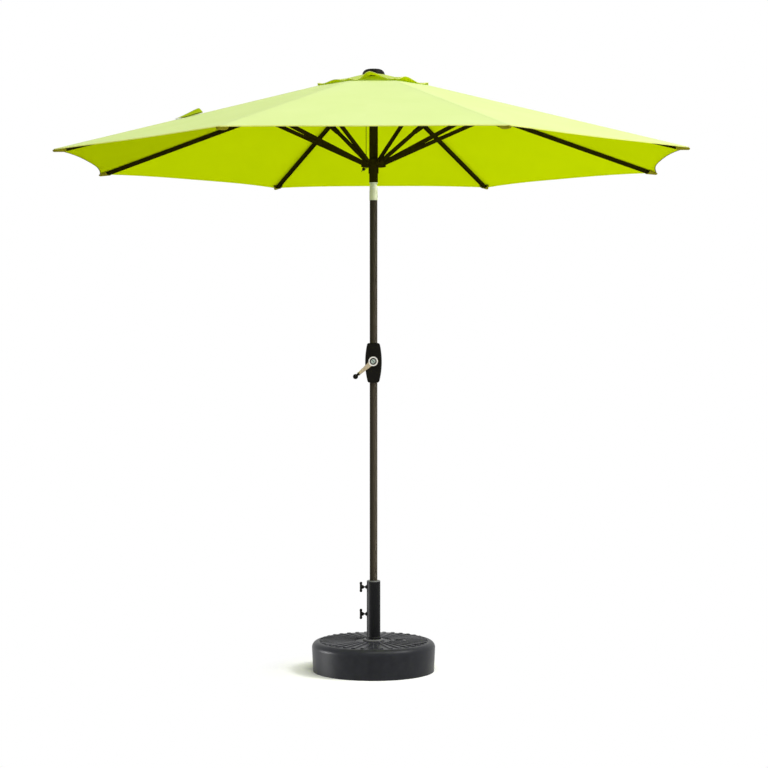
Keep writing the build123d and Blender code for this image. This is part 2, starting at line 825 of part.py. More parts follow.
# Top hub: a slotted disc on the pole, with a skirt that carries the pulley
with BuildPart() as top_hub:
    with BuildSketch(Plane.XY.offset(hub_z - hub_down)):
        Circle(hub_r)
    extrude(amount=hub_down + hub_up)
    with BuildSketch(Plane.XY.offset(hub_z - hub_down)):
        Circle(hub_skirt_r)
    extrude(amount=-hub_skirt_len)
    with BuildSketch(Plane.XY.offset(hub_z - hub_down - hub_skirt_len)):
        Circle(top_pole_r + fit_gap)
    extrude(amount=hub_skirt_len + hub_down + hub_up - hub_web, mode=Mode.SUBTRACT)
    with BuildSketch(Plane.XY.offset(hub_z + hub_up)):
        Circle(finial_stud_r + fit_gap)
    extrude(amount=-hub_web, mode=Mode.SUBTRACT)
    with BuildSketch(Plane.XY.offset(hub_z - hub_down)):
        with PolarLocations(pivot_radius - slot_back + hub_r / 2, rib_count, first_rib_azimuth):
            Rectangle(hub_r, slot_width)
    extrude(amount=hub_down + hub_up, mode=Mode.SUBTRACT)
    for k in range(rib_count):
        with BuildSketch(pivot_plane(k, hub_z)):
            Circle(pivot_pin_r + fit_gap)
        extrude(amount=pivot_pin_len / 2, both=True, mode=Mode.SUBTRACT)
    with BuildSketch(Plane.XY.offset(hub_z - hub_down - hub_skirt_len)):
        with Locations((cord_fall_x, 0)):
            Rectangle(2 * (cord_x - cord_fall_x), pulley_slot)
    extrude(amount=pulley_slot_top - hub_z + hub_down + hub_skirt_len, mode=Mode.SUBTRACT)
    with BuildSketch(Plane.XZ):
        with Locations((pulley_x, pulley_z)):
            Circle(axle_r + fit_gap)
    extrude(amount=hub_skirt_r, both=True, mode=Mode.SUBTRACT)
save(top_hub.part, "top_hub")

# Pins of the rib pivots and of the runner's strut pivots
runner_pivot_sets = (("hub_pins", hub_z), ("runner_pins", runner_z))
for pins_name, pins_z in runner_pivot_sets:
    with BuildPart() as pins:
        for k in range(rib_count):
            with BuildSketch(pivot_plane(k, pins_z)):
                Circle(pivot_pin_r)
            extrude(amount=pivot_pin_len / 2, both=True)
    save(pins.part, pins_name)

# Finial: a low cap with a rounded shoulder and a stud in the hub
finial_z = hub_z + hub_up
finial_top = finial_z + finial_h
with BuildPart() as finial:
    with BuildSketch(Plane.XZ):
        with BuildLine():
            Polyline((0, finial_z), (finial_r, finial_z), (finial_r, finial_z + finial_rim_h))
            ThreePointArc(
                (finial_r, finial_z + finial_rim_h),
                ((finial_r + finial_crown_r) / 2 + finial_bulge, finial_top - finial_shoulder_drop),
                (finial_crown_r, finial_top),
            )
            Polyline((finial_crown_r, finial_top), (0, finial_top), (0, finial_z))
        make_face()
    revolve(axis=Axis.Z)
    with BuildSketch(Plane.XY.offset(finial_z)):
        Circle(finial_stud_r)
    extrude(amount=-hub_web)
save(finial.part, "finial")

# Pulley at the pole's head and its axle
groove_r = pulley_pitch_r - cord_r - fit_gap
with BuildPart() as pulley:
    with BuildSketch(Plane.XZ.offset(-pulley_t / 2)):
        with Locations((pulley_x, pulley_z)):
            Circle(pulley_r)
            Circle(axle_r + running_gap, mode=Mode.SUBTRACT)
    extrude(amount=pulley_t)
    with BuildSketch(Plane.XZ):
        with Locations((pulley_x, pulley_z)):
            Circle(pulley_r)
            Circle(groove_r, mode=Mode.SUBTRACT)
    extrude(amount=cord_r + fit_gap, both=True, mode=Mode.SUBTRACT)
save(pulley.part, "pulley")

axle_half = math.sqrt(hub_skirt_r**2 - pulley_x**2) - axle_r
with BuildPart() as pulley_axle:
    with BuildSketch(Plane.XZ):
        with Locations((pulley_x, pulley_z)):
            Circle(axle_r)
    extrude(amount=axle_half, both=True)
save(pulley_axle.part, "pulley_axle")

# Lift cord: its run up the lower poles, then up the top pole, over the pulley and down
with BuildPart() as lift_cord_lower:
    with BuildSketch(Plane.XY.offset(crank_z)):
        with Locations((cord_x, 0)):
            Circle(cord_r)
    extrude(amount=cord_split_z - crank_z)
save(lift_cord_lower.part, "lift_cord_lower")

cord_end_z = runner_z - runner_down
with BuildPart() as lift_cord_upper:
    with BuildLine(Plane.XZ) as cord_path:
        Line((cord_x, cord_split_z), (cord_x, pulley_z))
        ThreePointArc(
            (cord_x, pulley_z),
            (pulley_x, pulley_z + pulley_pitch_r),
            (cord_fall_x, pulley_z),
        )
        Line((cord_fall_x, pulley_z), (cord_fall_x, cord_end_z))
    with BuildSketch(Plane.XY.offset(cord_split_z)):
        with Locations((cord_x, 0)):
            Circle(cord_r)
    sweep(path=cord_path.wire())
save(lift_cord_upper.part, "lift_cord_upper")

# Knot ball on the cord's tail under the runner
with BuildPart() as cord_knot:
    with BuildLine(Plane.XZ) as tail_path:
        TangentArc(
            (cord_fall_x, cord_end_z),
            (cord_fall_x - knot_out, cord_end_z - knot_drop),
            tangent=(0, -1),
        )
    with BuildSketch(Plane.XY.offset(cord_end_z)):
        with Locations((cord_fall_x, 0)):
            Circle(cord_r)
    sweep(path=tail_path.wire())
    with Locations((cord_fall_x - knot_out, 0, cord_end_z - knot_drop)):
        Sphere(knot_r)
save(cord_knot.part, "cord_knot")

# Runner: a slotted ring for the struts on a sleeve that slides along the pole
with BuildPart() as runner:
    with BuildSketch(Plane.XY.offset(runner_z - runner_down)):
        Circle(hub_r)
    extrude(amount=runner_down + runner_up)
    with BuildSketch(Plane.XY.offset(runner_z - runner_sleeve_down)):
        Circle(runner_bore_r + runner_wall)
    extrude(amount=runner_sleeve_down + runner_sleeve_up)
    with BuildSketch(Plane.XY.offset(runner_z - runner_sleeve_down)):
        Circle(runner_bore_r)
    extrude(amount=runner_sleeve_down + runner_up + runner_sleeve_up, mode=Mode.SUBTRACT)
    with BuildSketch(Plane.XY.offset(runner_z - runner_down)):
        with PolarLocations(pivot_radius - slot_back + hub_r / 2, rib_count, first_rib_azimuth):
            Rectangle(hub_r, slot_width)
        with Locations((cord_fall_x, 0)):
            Circle(cord_hole_r)
    extrude(amount=runner_down + runner_up, mode=Mode.SUBTRACT)
    for k in range(rib_count):
        with BuildSketch(pivot_plane(k, runner_z)):
            Circle(pivot_pin_r + fit_gap)
        extrude(amount=pivot_pin_len / 2, both=True, mode=Mode.SUBTRACT)
save(runner.part, "runner")

# Rib pieces in the rib's own frame: channel, tapered end, a strut bracket that carries
# on the strut's line up to the rib, and its pin
with BuildPart() as rib_channel:
    with BuildSketch(Plane.YZ.offset(rib_neck_len)):
        Rectangle(rib_width, rib_height)
        with Locations((0, -rib_wall)):
            Rectangle(rib_width - 2 * rib_wall, rib_height, mode=Mode.SUBTRACT)
    extrude(amount=rib_len - rib_neck_len)
    with BuildSketch(Plane.XZ):
        Circle(rib_neck_height / 2)
        with Locations(((rib_neck_len + rib_neck_lap) / 2, 0)):
            Rectangle(rib_neck_len + rib_neck_lap, rib_neck_height)
    extrude(amount=rib_neck_width / 2, both=True)
    with BuildSketch(Plane.XZ):
        Circle(pivot_pin_r + running_gap)
    extrude(amount=rib_width, both=True, mode=Mode.SUBTRACT)

with BuildPart() as rib_tip:
    with BuildSketch(Plane.YZ.offset(rib_len)):
        RectangleRounded(rib_width, rib_height, rib_tip_round)
    with BuildSketch(Plane.YZ.offset(rib_len + rib_tip_len)):
        with Locations((0, (rib_height - rib_tip_height) / 2)):
            RectangleRounded(rib_tip_width, rib_tip_height, rib_tip_round)
    loft()

bracket_top = -rib_height / 2
ear_inner = strut_width / 2 + slide_gap
with BuildPart() as rib_bracket:
    with BuildSketch(Plane.XY.offset(bracket_top)):
        with Locations((bracket_place, 0)):
            Rectangle(bracket_len, bracket_width)
    extrude(amount=-bracket_plate_t)
    for toward in (1, -1):
        with BuildSketch(Plane.XZ.offset(toward * ear_inner)):
            with Locations((bracket_place, bracket_top - bracket_plate_t)):
                Rectangle(bracket_len, bracket_plate_t)
            with Locations((strut_place, -strut_drop)):
                Circle(strut_height / 2)
            make_hull()
        extrude(amount=toward * bracket_ear_t)
    with BuildSketch(Plane.XZ):
        with Locations((strut_place, -strut_drop)):
            Circle(pivot_pin_r + fit_gap)
    extrude(amount=bracket_width, both=True, mode=Mode.SUBTRACT)

with BuildPart() as bracket_pin:
    with BuildSketch(Plane.XZ):
        with Locations((strut_place, -strut_drop)):
            Circle(pivot_pin_r)
    extrude(amount=ear_inner + bracket_ear_t, both=True)

# Strut in its own frame: a channel with a rounded eye at each end
with BuildPart() as strut_channel:
    with BuildSketch(Plane.XZ):
        with Locations((strut_len / 2, 0)):
            SlotCenterToCenter(strut_len, strut_height)
    extrude(amount=strut_width / 2, both=True)
    with BuildSketch(Plane.XY.offset(-strut_height / 2)):
        with Locations((strut_len / 2, 0)):
            Rectangle(strut_len - 2 * strut_end, strut_width - 2 * strut_wall)
    extrude(amount=strut_height - strut_wall, mode=Mode.SUBTRACT)
    with BuildSketch(Plane.XZ):
        with Locations((0, 0), (strut_len, 0)):
            Circle(pivot_pin_r + running_gap)
    extrude(amount=strut_width, both=True, mode=Mode.SUBTRACT)

for k in range(rib_count):
    rib_pieces = (rib_channel, rib_tip, rib_bracket, bracket_pin)
    placed = [rib_frame(k).location * piece.part for piece in rib_pieces]
    save(Compound(children=placed), f"rib_{k + 1}")
    save(strut_frame(k).location * strut_channel.part, f"strut_{k + 1}")


def half_panel(first, middle, corner, inner_share, sag):
    """Half of a panel between a rib and the next: a flat sheet from first to its hem.

    first is on the pole's axis, middle on the line halfway to the next rib and corner
    on the rib. The sheet starts at inner_share of its length and its hem sags inwards.
    """
    along = (middle - first).normalized()
    normal = (corner - first).cross(middle - first).normalized()
    sheet = Plane(origin=first, x_dir=along, z_dir=normal)
    reach = (middle - first).length
    tip = sheet.to_local_coords(corner)
    inner = Vector(tip.X * inner_share, tip.Y * inner_share)
    quarter = Vector((3 * reach + tip.X) / 4, tip.Y / 2)
    inner_reach = reach * inner_share
    with BuildPart() as panel:
        with BuildSketch(sheet):
            with BuildLine():
                Line((inner_reach, -seam_gap / 2), (reach, -seam_gap / 2))
                ThreePointArc((reach, -seam_gap / 2), (quarter.X + sag, quarter.Y), (tip.X, tip.Y))
                Line((tip.X, tip.Y), (tip.X, tip.Y - overhang))
                Line((tip.X, tip.Y - overhang), (inner.X, inner.Y - overhang))
                Line((inner.X, inner.Y - overhang), (inner_reach, -seam_gap / 2))
            make_face()
        extrude(amount=canopy_t)
    return panel.part


# Canopy gores, each centred on its rib, with the vent flap above as a second sheet
ridge_z = hub_z + pivot_radius * math.tan(slope) + (rib_height / 2 + cloth_gap) / math.cos(slope)
vent_apex_z = ridge_z + (canopy_t + vent_gap) / math.cos(slope)
hem_middle_r = canopy_r * math.cos(half) - hem_sag
fall = math.tan(slope)
panel_fall = fall / math.cos(half)
for k in range(rib_count):
    here = azimuth(k)
    middle_way = here + half
    rib_side = Plane(origin=(0, 0, 0), x_dir=(0, 0, 1), z_dir=tangent(here))
    main_half = half_panel(
        Vector(0, 0, ridge_z),
        radial(middle_way, hem_middle_r, ridge_z - hem_middle_r * panel_fall),
        radial(here, canopy_r, ridge_z - canopy_r * fall),
        canopy_inner_r / canopy_r,
        -hem_sag / 4,
    )
    vent_half = half_panel(
        Vector(0, 0, vent_apex_z),
        radial(middle_way, vent_mid_r, vent_apex_z - vent_mid_r * panel_fall + vent_lift),
        radial(here, vent_r, vent_apex_z - vent_r * fall),
        (finial_r + vent_inner_gap) / vent_r,
        vent_bow,
    )
    sheets = []
    for sheet_half in (main_half, vent_half):
        with BuildPart() as gore:
            add(sheet_half)
            split(bisect_by=rib_side, keep=Keep.TOP)
            mirror(about=rib_side)
        sheets.append(gore.part)
    save(Compound(children=sheets), f"canopy_gore_{k + 1}")
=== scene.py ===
import json
import math

import bpy
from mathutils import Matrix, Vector


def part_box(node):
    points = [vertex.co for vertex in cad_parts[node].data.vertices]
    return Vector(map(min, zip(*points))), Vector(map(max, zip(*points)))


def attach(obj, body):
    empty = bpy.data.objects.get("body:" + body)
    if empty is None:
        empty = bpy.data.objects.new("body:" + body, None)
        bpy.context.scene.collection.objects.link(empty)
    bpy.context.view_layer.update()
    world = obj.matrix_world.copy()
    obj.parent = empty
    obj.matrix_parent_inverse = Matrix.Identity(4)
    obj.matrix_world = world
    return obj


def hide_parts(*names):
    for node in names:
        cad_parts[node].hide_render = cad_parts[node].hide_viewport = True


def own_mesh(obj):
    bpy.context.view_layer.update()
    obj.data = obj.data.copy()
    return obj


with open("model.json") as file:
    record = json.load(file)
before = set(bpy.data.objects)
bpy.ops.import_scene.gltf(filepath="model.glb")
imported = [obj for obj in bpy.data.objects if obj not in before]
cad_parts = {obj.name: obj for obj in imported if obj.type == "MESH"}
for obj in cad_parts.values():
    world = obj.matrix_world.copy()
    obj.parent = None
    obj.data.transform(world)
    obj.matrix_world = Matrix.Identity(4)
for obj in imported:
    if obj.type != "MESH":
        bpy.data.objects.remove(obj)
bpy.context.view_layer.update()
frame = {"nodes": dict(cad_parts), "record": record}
nodes = frame["nodes"]
scene = bpy.context.scene

# Sizes shared with the CAD model, in metres
HUB_Z = 2.396
PIVOT_R = 0.042
RIB_SLOPE = math.radians(15.5)
RIB_COUNT = 8
STEP = 2 * math.pi / RIB_COUNT
FIRST_RIB = math.radians(22.5)
RIB_TOP = 0.0092
CANOPY_R = 1.300
CANOPY_INNER_R = 0.110
HEM_SAG = 0.038
CLOTH_T = 0.0008
VENT_R = 0.240
VENT_INNER_R = 0.0515
VENT_GAP = 0.0006
RUNNER_SLEEVE = 0.040
RUNNER_HALF = 0.013
KNOT_R = 0.0075
CORD_D = 0.0025

# Sizes of the cloth's seams and stitches
SEAM_T = 0.0014
STITCH = 0.0055
STITCH_SHARE = 0.7
THREAD_R = 0.0005
SEAM_INSET = 0.0075
HEM_INSET = 0.014

# The ribs' fall for each metre out, and the heights of the canopy's and the vent's apex
FALL = math.tan(RIB_SLOPE)
APEX_Z = HUB_Z + PIVOT_R * FALL + (RIB_TOP + SEAM_T) / math.cos(RIB_SLOPE)
VENT_Z = APEX_Z + (CLOTH_T + VENT_GAP) / math.cos(RIB_SLOPE)


# Scales and depths of the materials' detail
MOTTLE_RANGE = (0.32, 0.68)
MOTTLE_DETAIL = 4.0
PAINT_SCALE = 35.0
GLOSS_SCALE = 60.0
GLOSS_DETAIL = 3.0
GRAIN_DETAIL = 2.0
GRAIN_DEPTH = 0.0004
EDGE_R = 0.0006
EDGE_SAMPLES = 4
CLOTH_SCALE = 3.0
CLOTH_ROUGH = 0.7
WEAVE_SCALE = 240.0
WEAVE_BUMP = {"Strength": 0.12, "Distance": 0.0003}
RIPPLE_SCALE = 5.0
RIPPLE_DETAIL = 2.0
RIPPLE_BUMP = {"Strength": 0.25, "Distance": 0.006}


# Shader helpers
def add_node(tree, kind, inputs=None, **settings):
    """Add a shader node, set its plain inputs by name and its settings."""
    made = tree.nodes.new(kind)
    for name, value in settings.items():
        setattr(made, name, value)
    for name, value in (inputs or {}).items():
        made.inputs[name].default_value = value
    return made


def new_material(name):
    """An empty node material and its principled shader."""
    material = bpy.data.materials.new(name)
    material.use_nodes = True
    return material, material.node_tree, material.node_tree.nodes["Principled BSDF"]


def rgb(red, green, blue):
    """A solid colour for a shader socket."""
    return (red, green, blue, 1.0)


def mottled(tree, vector, scale, low, high):
    """Noise that blends between two colours."""
    noise = add_node(tree, "ShaderNodeTexNoise", {"Scale": scale, "Detail": MOTTLE_DETAIL})
    ramp = add_node(tree, "ShaderNodeValToRGB")
    for element, position, colour in zip(ramp.color_ramp.elements, MOTTLE_RANGE, (low, high)):
        element.position = position
        element.color = colour
    tree.links.new(vector, noise.inputs["Vector"])
    tree.links.new(noise.outputs["Fac"], ramp.inputs["Fac"])
    return ramp.outputs["Color"]


def hard_material(
    name, low, high, rough, metallic=0.0, spec=0.5, grain=600.0, bump=0.15, stretch=None
):
    """Paint, plastic or metal: mottled colour, uneven gloss, fine grain and softened edges."""
    material, tree, shader = new_material(name)
    links = tree.links
    place = add_node(tree, "ShaderNodeTexCoord")
    vector = place.outputs["Object"]
    if stretch:
        mapping = add_node(tree, "ShaderNodeMapping", {"Scale": stretch})
        links.new(vector, mapping.inputs["Vector"])
        vector = mapping.outputs["Vector"]
    links.new(mottled(tree, vector, PAINT_SCALE, low, high), shader.inputs["Base Color"])
    gloss = add_node(tree, "ShaderNodeTexNoise", {"Scale": GLOSS_SCALE, "Detail": GLOSS_DETAIL})
    rough_range = add_node(tree, "ShaderNodeMapRange", {"To Min": rough[0], "To Max": rough[1]})
    links.new(vector, gloss.inputs["Vector"])
    links.new(gloss.outputs["Fac"], rough_range.inputs["Value"])
    links.new(rough_range.outputs["Result"], shader.inputs["Roughness"])
    fine = add_node(tree, "ShaderNodeTexNoise", {"Scale": grain, "Detail": GRAIN_DETAIL})
    relief = add_node(tree, "ShaderNodeBump", {"Strength": bump, "Distance": GRAIN_DEPTH})
    round_off = add_node(tree, "ShaderNodeBevel", {"Radius": EDGE_R}, samples=EDGE_SAMPLES)
    links.new(vector, fine.inputs["Vector"])
    links.new(fine.outputs["Fac"], relief.inputs["Height"])
    links.new(round_off.outputs["Normal"], relief.inputs["Normal"])
    links.new(relief.outputs["Normal"], shader.inputs["Normal"])
    shader.inputs["Metallic"].default_value = metallic
    shader.inputs["Specular IOR Level"].default_value = spec
    return material


def maths(tree, operation, *values):
    """A math node on sockets or plain numbers."""
    made = add_node(tree, "ShaderNodeMath", operation=operation)
    for socket, value in zip(made.inputs, values):
        if isinstance(value, (int, float)):
            socket.default_value = value
        else:
            tree.links.new(value, socket)
    return made.outputs["Value"]


def band(tree, value, centre, half_width):
    """1 where a value is within half_width of centre, else 0."""
    return maths(tree, "COMPARE", value, centre, half_width)


def paint_over(tree, shader, mask, colour):
    """Lay a colour over what the shader's base colour has, where the mask is 1."""
    base = shader.inputs["Base Color"]
    mix = add_node(tree, "ShaderNodeMix", data_type="RGBA")
    mix.inputs["B"].default_value = colour
    tree.links.new(base.links[0].from_socket, mix.inputs["A"])
    tree.links.new(mask, mix.inputs["Factor"])
    tree.links.new(mix.outputs["Result"], base)


def times_shading(tree, colour, panel_shading):
    """A colour, plain or from a socket, times a painted shade."""
    mix = add_node(
        tree, "ShaderNodeMix", {"Factor": 1.0}, data_type="RGBA", blend_type="MULTIPLY"
    )
    if isinstance(colour, tuple):
        mix.inputs["A"].default_value = colour
    else:
        tree.links.new(colour, mix.inputs["A"])
    tree.links.new(panel_shading, mix.inputs["B"])
    return mix.outputs["Result"]


def stitches(tree, run):
    """1 along each stitch of a row, and 0 in the gaps between them."""
    return maths(tree, "LESS_THAN", maths(tree, "MODULO", run, STITCH), STITCH_SHARE * STITCH)


def cloth_material(name, low, high, through, share, thread, spec=0.02, panel_shaded=False):
    """Woven canvas: mottled colour, weave relief, stitched seams, light let through.

    share is how much of the light goes through. Cloth with painted panel shade takes each panel's shade
    from its mesh.
    """
    material, tree, shader = new_material(name)
    links = tree.links
    place = add_node(tree, "ShaderNodeUVMap", uv_map="panel")
    split = add_node(tree, "ShaderNodeSeparateXYZ")
    links.new(place.outputs["UV"], split.inputs["Vector"])
    across, along = split.outputs["X"], split.outputs["Y"]
    colour = mottled(tree, place.outputs["UV"], CLOTH_SCALE, low, high)
    glow = add_node(tree, "ShaderNodeBsdfTranslucent", {"Color": through})
    # Painted shade per panel, read from the mesh, darkens the colour and the light let through
    if panel_shaded:
        panel_shading = add_node(tree, "ShaderNodeAttribute", attribute_name="panel_shading").outputs["Color"]
        colour = times_shading(tree, colour, panel_shading)
        links.new(times_shading(tree, through, panel_shading), glow.inputs["Color"])
    links.new(colour, shader.inputs["Base Color"])
    # Two rows of stitches beside the rib, and one above the hem of the canopy and of the vent
    side = maths(tree, "ABSOLUTE", across)
    beat = stitches(tree, along)
    seam = maths(tree, "MULTIPLY", band(tree, side, SEAM_INSET, THREAD_R), beat)
    paint_over(tree, shader, seam, thread)
    beat = stitches(tree, side)
    for hem_line in (CANOPY_R - HEM_INSET, VENT_R - HEM_INSET):
        hem = maths(tree, "MULTIPLY", band(tree, along, hem_line, THREAD_R), beat)
        paint_over(tree, shader, hem, thread)
    # Weave of two crossing threads, with broad slack ripples under it
    warp = add_node(tree, "ShaderNodeTexWave", {"Scale": WEAVE_SCALE}, bands_direction="X")
    weft = add_node(tree, "ShaderNodeTexWave", {"Scale": WEAVE_SCALE}, bands_direction="Y")
    ripple = add_node(
        tree, "ShaderNodeTexNoise", {"Scale": RIPPLE_SCALE, "Detail": RIPPLE_DETAIL}
    )
    for texture in (warp, weft, ripple):
        links.new(place.outputs["UV"], texture.inputs["Vector"])
    weave = maths(tree, "MULTIPLY", warp.outputs["Fac"], weft.outputs["Fac"])
    broad = add_node(tree, "ShaderNodeBump", RIPPLE_BUMP)
    relief = add_node(tree, "ShaderNodeBump", WEAVE_BUMP)
    links.new(ripple.outputs["Fac"], broad.inputs["Height"])
    links.new(weave, relief.inputs["Height"])
    links.new(broad.outputs["Normal"], relief.inputs["Normal"])
    links.new(relief.outputs["Normal"], shader.inputs["Normal"])
    shader.inputs["Roughness"].default_value = CLOTH_ROUGH
    shader.inputs["Specular IOR Level"].default_value = spec
    blend = add_node(tree, "ShaderNodeMixShader", {"Fac": share})
    links.new(relief.outputs["Normal"], glow.inputs["Normal"])
    links.new(shader.outputs["BSDF"], blend.inputs[1])
    links.new(glow.outputs["BSDF"], blend.inputs[2])
    links.new(blend.outputs["Shader"], tree.nodes["Material Output"].inputs["Surface"])
    return material


# Each has its darkest and lightest colour, then the range of its roughness
bronze = hard_material(
    "bronze_paint",
    rgb(0.030, 0.025, 0.0175),
    rgb(0.033, 0.0275, 0.0195),
    (0.42, 0.46),
    spec=0.02,
    bump=0.03,
)
# The bronze paint made darker and yellower for the parts under the canopy: painted shade
canopy_shade_paint = hard_material(
    "canopy_shade_paint", rgb(0.019, 0.016, 0.001), rgb(0.025, 0.021, 0.002), (0.44, 0.52), spec=0.0
)
stem_black = hard_material(
    "stem_paint",
    rgb(0.0045, 0.0046, 0.005),
    rgb(0.0065, 0.0066, 0.0072),
    (0.42, 0.50),
    spec=0.1,
    bump=0.3,
)
charcoal = hard_material(
    "charcoal_plastic",
    rgb(0.012, 0.0125, 0.0155),
    rgb(0.016, 0.0167, 0.0205),
    (0.34, 0.42),
    spec=0.12,
    bump=0.3,
)
black = hard_material(
    "black_plastic", rgb(0.0045, 0.0042, 0.0030), rgb(0.0080, 0.0075, 0.0055), (0.4, 0.55), spec=0.06
)
grey = hard_material("grey_plastic", rgb(0.07, 0.07, 0.073), rgb(0.11, 0.11, 0.114), (0.4, 0.55))
silver = hard_material(
    "silver_metal",
    rgb(0.42, 0.44, 0.31),
    rgb(0.54, 0.56, 0.42),
    (0.34, 0.44),
    metallic=0.1,
    spec=0.15,
    stretch=(1, 1, 0.05),
)
steel = hard_material(
    "bright_steel", rgb(0.50, 0.50, 0.51), rgb(0.66, 0.66, 0.67), (0.25, 0.38), metallic=1.0
)
nylon = hard_material("nylon", rgb(0.62, 0.60, 0.54), rgb(0.74, 0.72, 0.66), (0.4, 0.55))
water = hard_material("ballast", rgb(0.10, 0.20, 0.26), rgb(0.16, 0.30, 0.36), (0.05, 0.1))
water.node_tree.nodes["Principled BSDF"].inputs["Transmission Weight"].default_value = 0.6
braid = hard_material(
    "dark_cord",
    rgb(0.005, 0.005, 0.004),
    rgb(0.016, 0.014, 0.012),
    (0.7, 0.85),
    spec=0.1,
    grain=1800.0,
    bump=0.8,
)


def crank_place(tree):
    """Sockets with the places across and up from the crank's axis, and the distance from it."""
    low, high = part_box("arm_screw")
    place = add_node(tree, "ShaderNodeTexCoord")
    shift = add_node(tree, "ShaderNodeVectorMath", operation="SUBTRACT")
    shift.inputs[1].default_value = (0, 0, (low.z + high.z) / 2)
    split = add_node(tree, "ShaderNodeSeparateXYZ")
    tree.links.new(place.outputs["Object"], shift.inputs[0])
    tree.links.new(shift.outputs["Vector"], split.inputs["Vector"])
    across, up = split.outputs["X"], split.outputs["Z"]
    squares = [maths(tree, "MULTIPLY", value, value) for value in (across, up)]
    return across, up, maths(tree, "SQRT", maths(tree, "ADD", *squares))


# Crank arm with a pale rim round its eye and painted shade as a dark ring in the recess round the screw,
# whose slot is slanted and painted dark as its shade
ARM_EYE_R = 0.0195
ARM_RECESS_R = 0.014
SCREW_HEAD_R = 0.009
SCREW_SLOT_R = 0.0072
SCREW_SLOT_HALF = 0.0017
arm_metal = hard_material(
    "arm_metal", rgb(0.36, 0.28, 0.17), rgb(0.50, 0.41, 0.28), (0.3, 0.42), metallic=0.5, spec=0.4
)
arm_tree = arm_metal.node_tree
arm_shader = arm_tree.nodes["Principled BSDF"]
arm_out = crank_place(arm_tree)[2]
eye_rim = maths(arm_tree, "LESS_THAN", arm_out, ARM_EYE_R)
paint_over(arm_tree, arm_shader, eye_rim, rgb(0.72, 0.70, 0.66))
ring_mid = (ARM_RECESS_R + SCREW_HEAD_R) / 2
recess_shade = band(arm_tree, arm_out, ring_mid, ARM_RECESS_R - ring_mid)
paint_over(arm_tree, arm_shader, recess_shade, rgb(0.020, 0.009, 0.007))

screw_steel = hard_material(
    "screw_steel", rgb(0.30, 0.38, 0.33), rgb(0.44, 0.50, 0.46), (0.3, 0.4), metallic=0.7
)
screw_tree = screw_steel.node_tree
screw_across, screw_up, screw_out = crank_place(screw_tree)
# The screw's slot painted near black: painted shade in the slot
screw_slant = maths(screw_tree, "ADD", screw_across, screw_up)
slot_line = band(screw_tree, screw_slant, 0.0, SCREW_SLOT_HALF)
slot_reach = maths(screw_tree, "LESS_THAN", screw_out, SCREW_SLOT_R)
slot_shade = maths(screw_tree, "MULTIPLY", slot_line, slot_reach)
paint_over(screw_tree, screw_tree.nodes["Principled BSDF"], slot_shade, rgb(0.006, 0.006, 0.006))

# Cloths: darkest and lightest colour, colour and share of the light let through, and thread
LIME = rgb(0.82, 0.88, 0.003)
# The top paler than the underside of the same cloth: painted sheen of the light from above
cloth_top_sheen = cloth_material(
    "cloth_top_sheen", rgb(0.74, 0.88, 0.38), rgb(0.78, 0.91, 0.42), LIME, 0.2, rgb(0.60, 0.74, 0.24), spec=0.03
)
cloth_under = cloth_material(
    "cloth_under",
    rgb(0.60, 0.735, 0.0003),
    rgb(0.64, 0.765, 0.0006),
    LIME,
    0.5,
    rgb(0.30, 0.36, 0.01),
    spec=0.0,
    panel_shaded=True,
)
# Hem cloth paler than the canopy: a painted highlight along the hem's fold
cloth_hem_highlight = cloth_material(
    "cloth_hem_highlight", rgb(0.80, 0.84, 0.24), rgb(0.84, 0.88, 0.30), LIME, 0.2, rgb(0.6, 0.66, 0.16)
)
# Dark olive for the hem's edge on the side panels: painted shade of the hem's fold
cloth_edge_shade = cloth_material(
    "cloth_edge_shade", rgb(0.085, 0.072, 0.004), rgb(0.12, 0.10, 0.007), LIME, 0.05, rgb(0.08, 0.1, 0.004)
)
cloth_olive = cloth_material(
    "cloth_olive", rgb(0.19, 0.17, 0.005), rgb(0.27, 0.25, 0.010), LIME, 0.12, rgb(0.34, 0.33, 0.03)
)
# The vent's top paler than its underside: painted sheen of the light from above
cloth_vent_sheen = cloth_material(
    "cloth_vent_sheen", rgb(0.70, 0.83, 0.20), rgb(0.75, 0.87, 0.26), LIME, 0.4, rgb(0.50, 0.62, 0.08)
)
cloth_vent_under = cloth_material(
    "cloth_vent_under", rgb(0.60, 0.70, 0.001), rgb(0.64, 0.74, 0.002), LIME, 0.65, rgb(0.36, 0.44, 0.01)
)
cloth_strap = cloth_material(
    "cloth_strap", rgb(0.40, 0.54, 0.003), rgb(0.47, 0.60, 0.006), LIME, 0.15, rgb(0.56, 0.62, 0.08)
)

# The record's material slots
FINISH = {
    "bronze_paint": bronze,
    "black_paint": stem_black,
    "charcoal_plastic": charcoal,
    "black_plastic": black,
    "grey_plastic": grey,
    "silver_metal": silver,
    "bright_steel": steel,
    "nylon": nylon,
    "ballast": water,
    "dark_cord": braid,
    "lime_cloth": cloth_top_sheen,
}
for entry in frame["record"]["subparts"]:
    mesh = nodes[entry["node"]].data
    mesh.materials.clear()
    mesh.materials.append(FINISH[entry["material_slot"]])
# Ribs, struts, upper pole and runner take the darker paint: painted shade of the canopy
for name, node in nodes.items():
    if name.startswith(("rib_", "strut_", "top_", "runner")):
        node.data.materials[0] = canopy_shade_paint
nodes["crank_arm"].data.materials[0] = arm_metal
nodes["arm_screw"].data.materials[0] = screw_steel


# Canopy: one sheet over eight panels, cut halfway between the ribs so each gore rides its rib
HEM_BOW = 2.5
CLOTH_SLACK = 0.010
SLACK_EASE = 0.3


def azimuth(k):
    """Angle of rib k round the pole."""
    return FIRST_RIB + k * STEP


def ray(k):
    """Direction along the ridge of rib k, one metre out."""
    return Vector((math.cos(azimuth(k)), math.sin(azimuth(k)), -FALL))


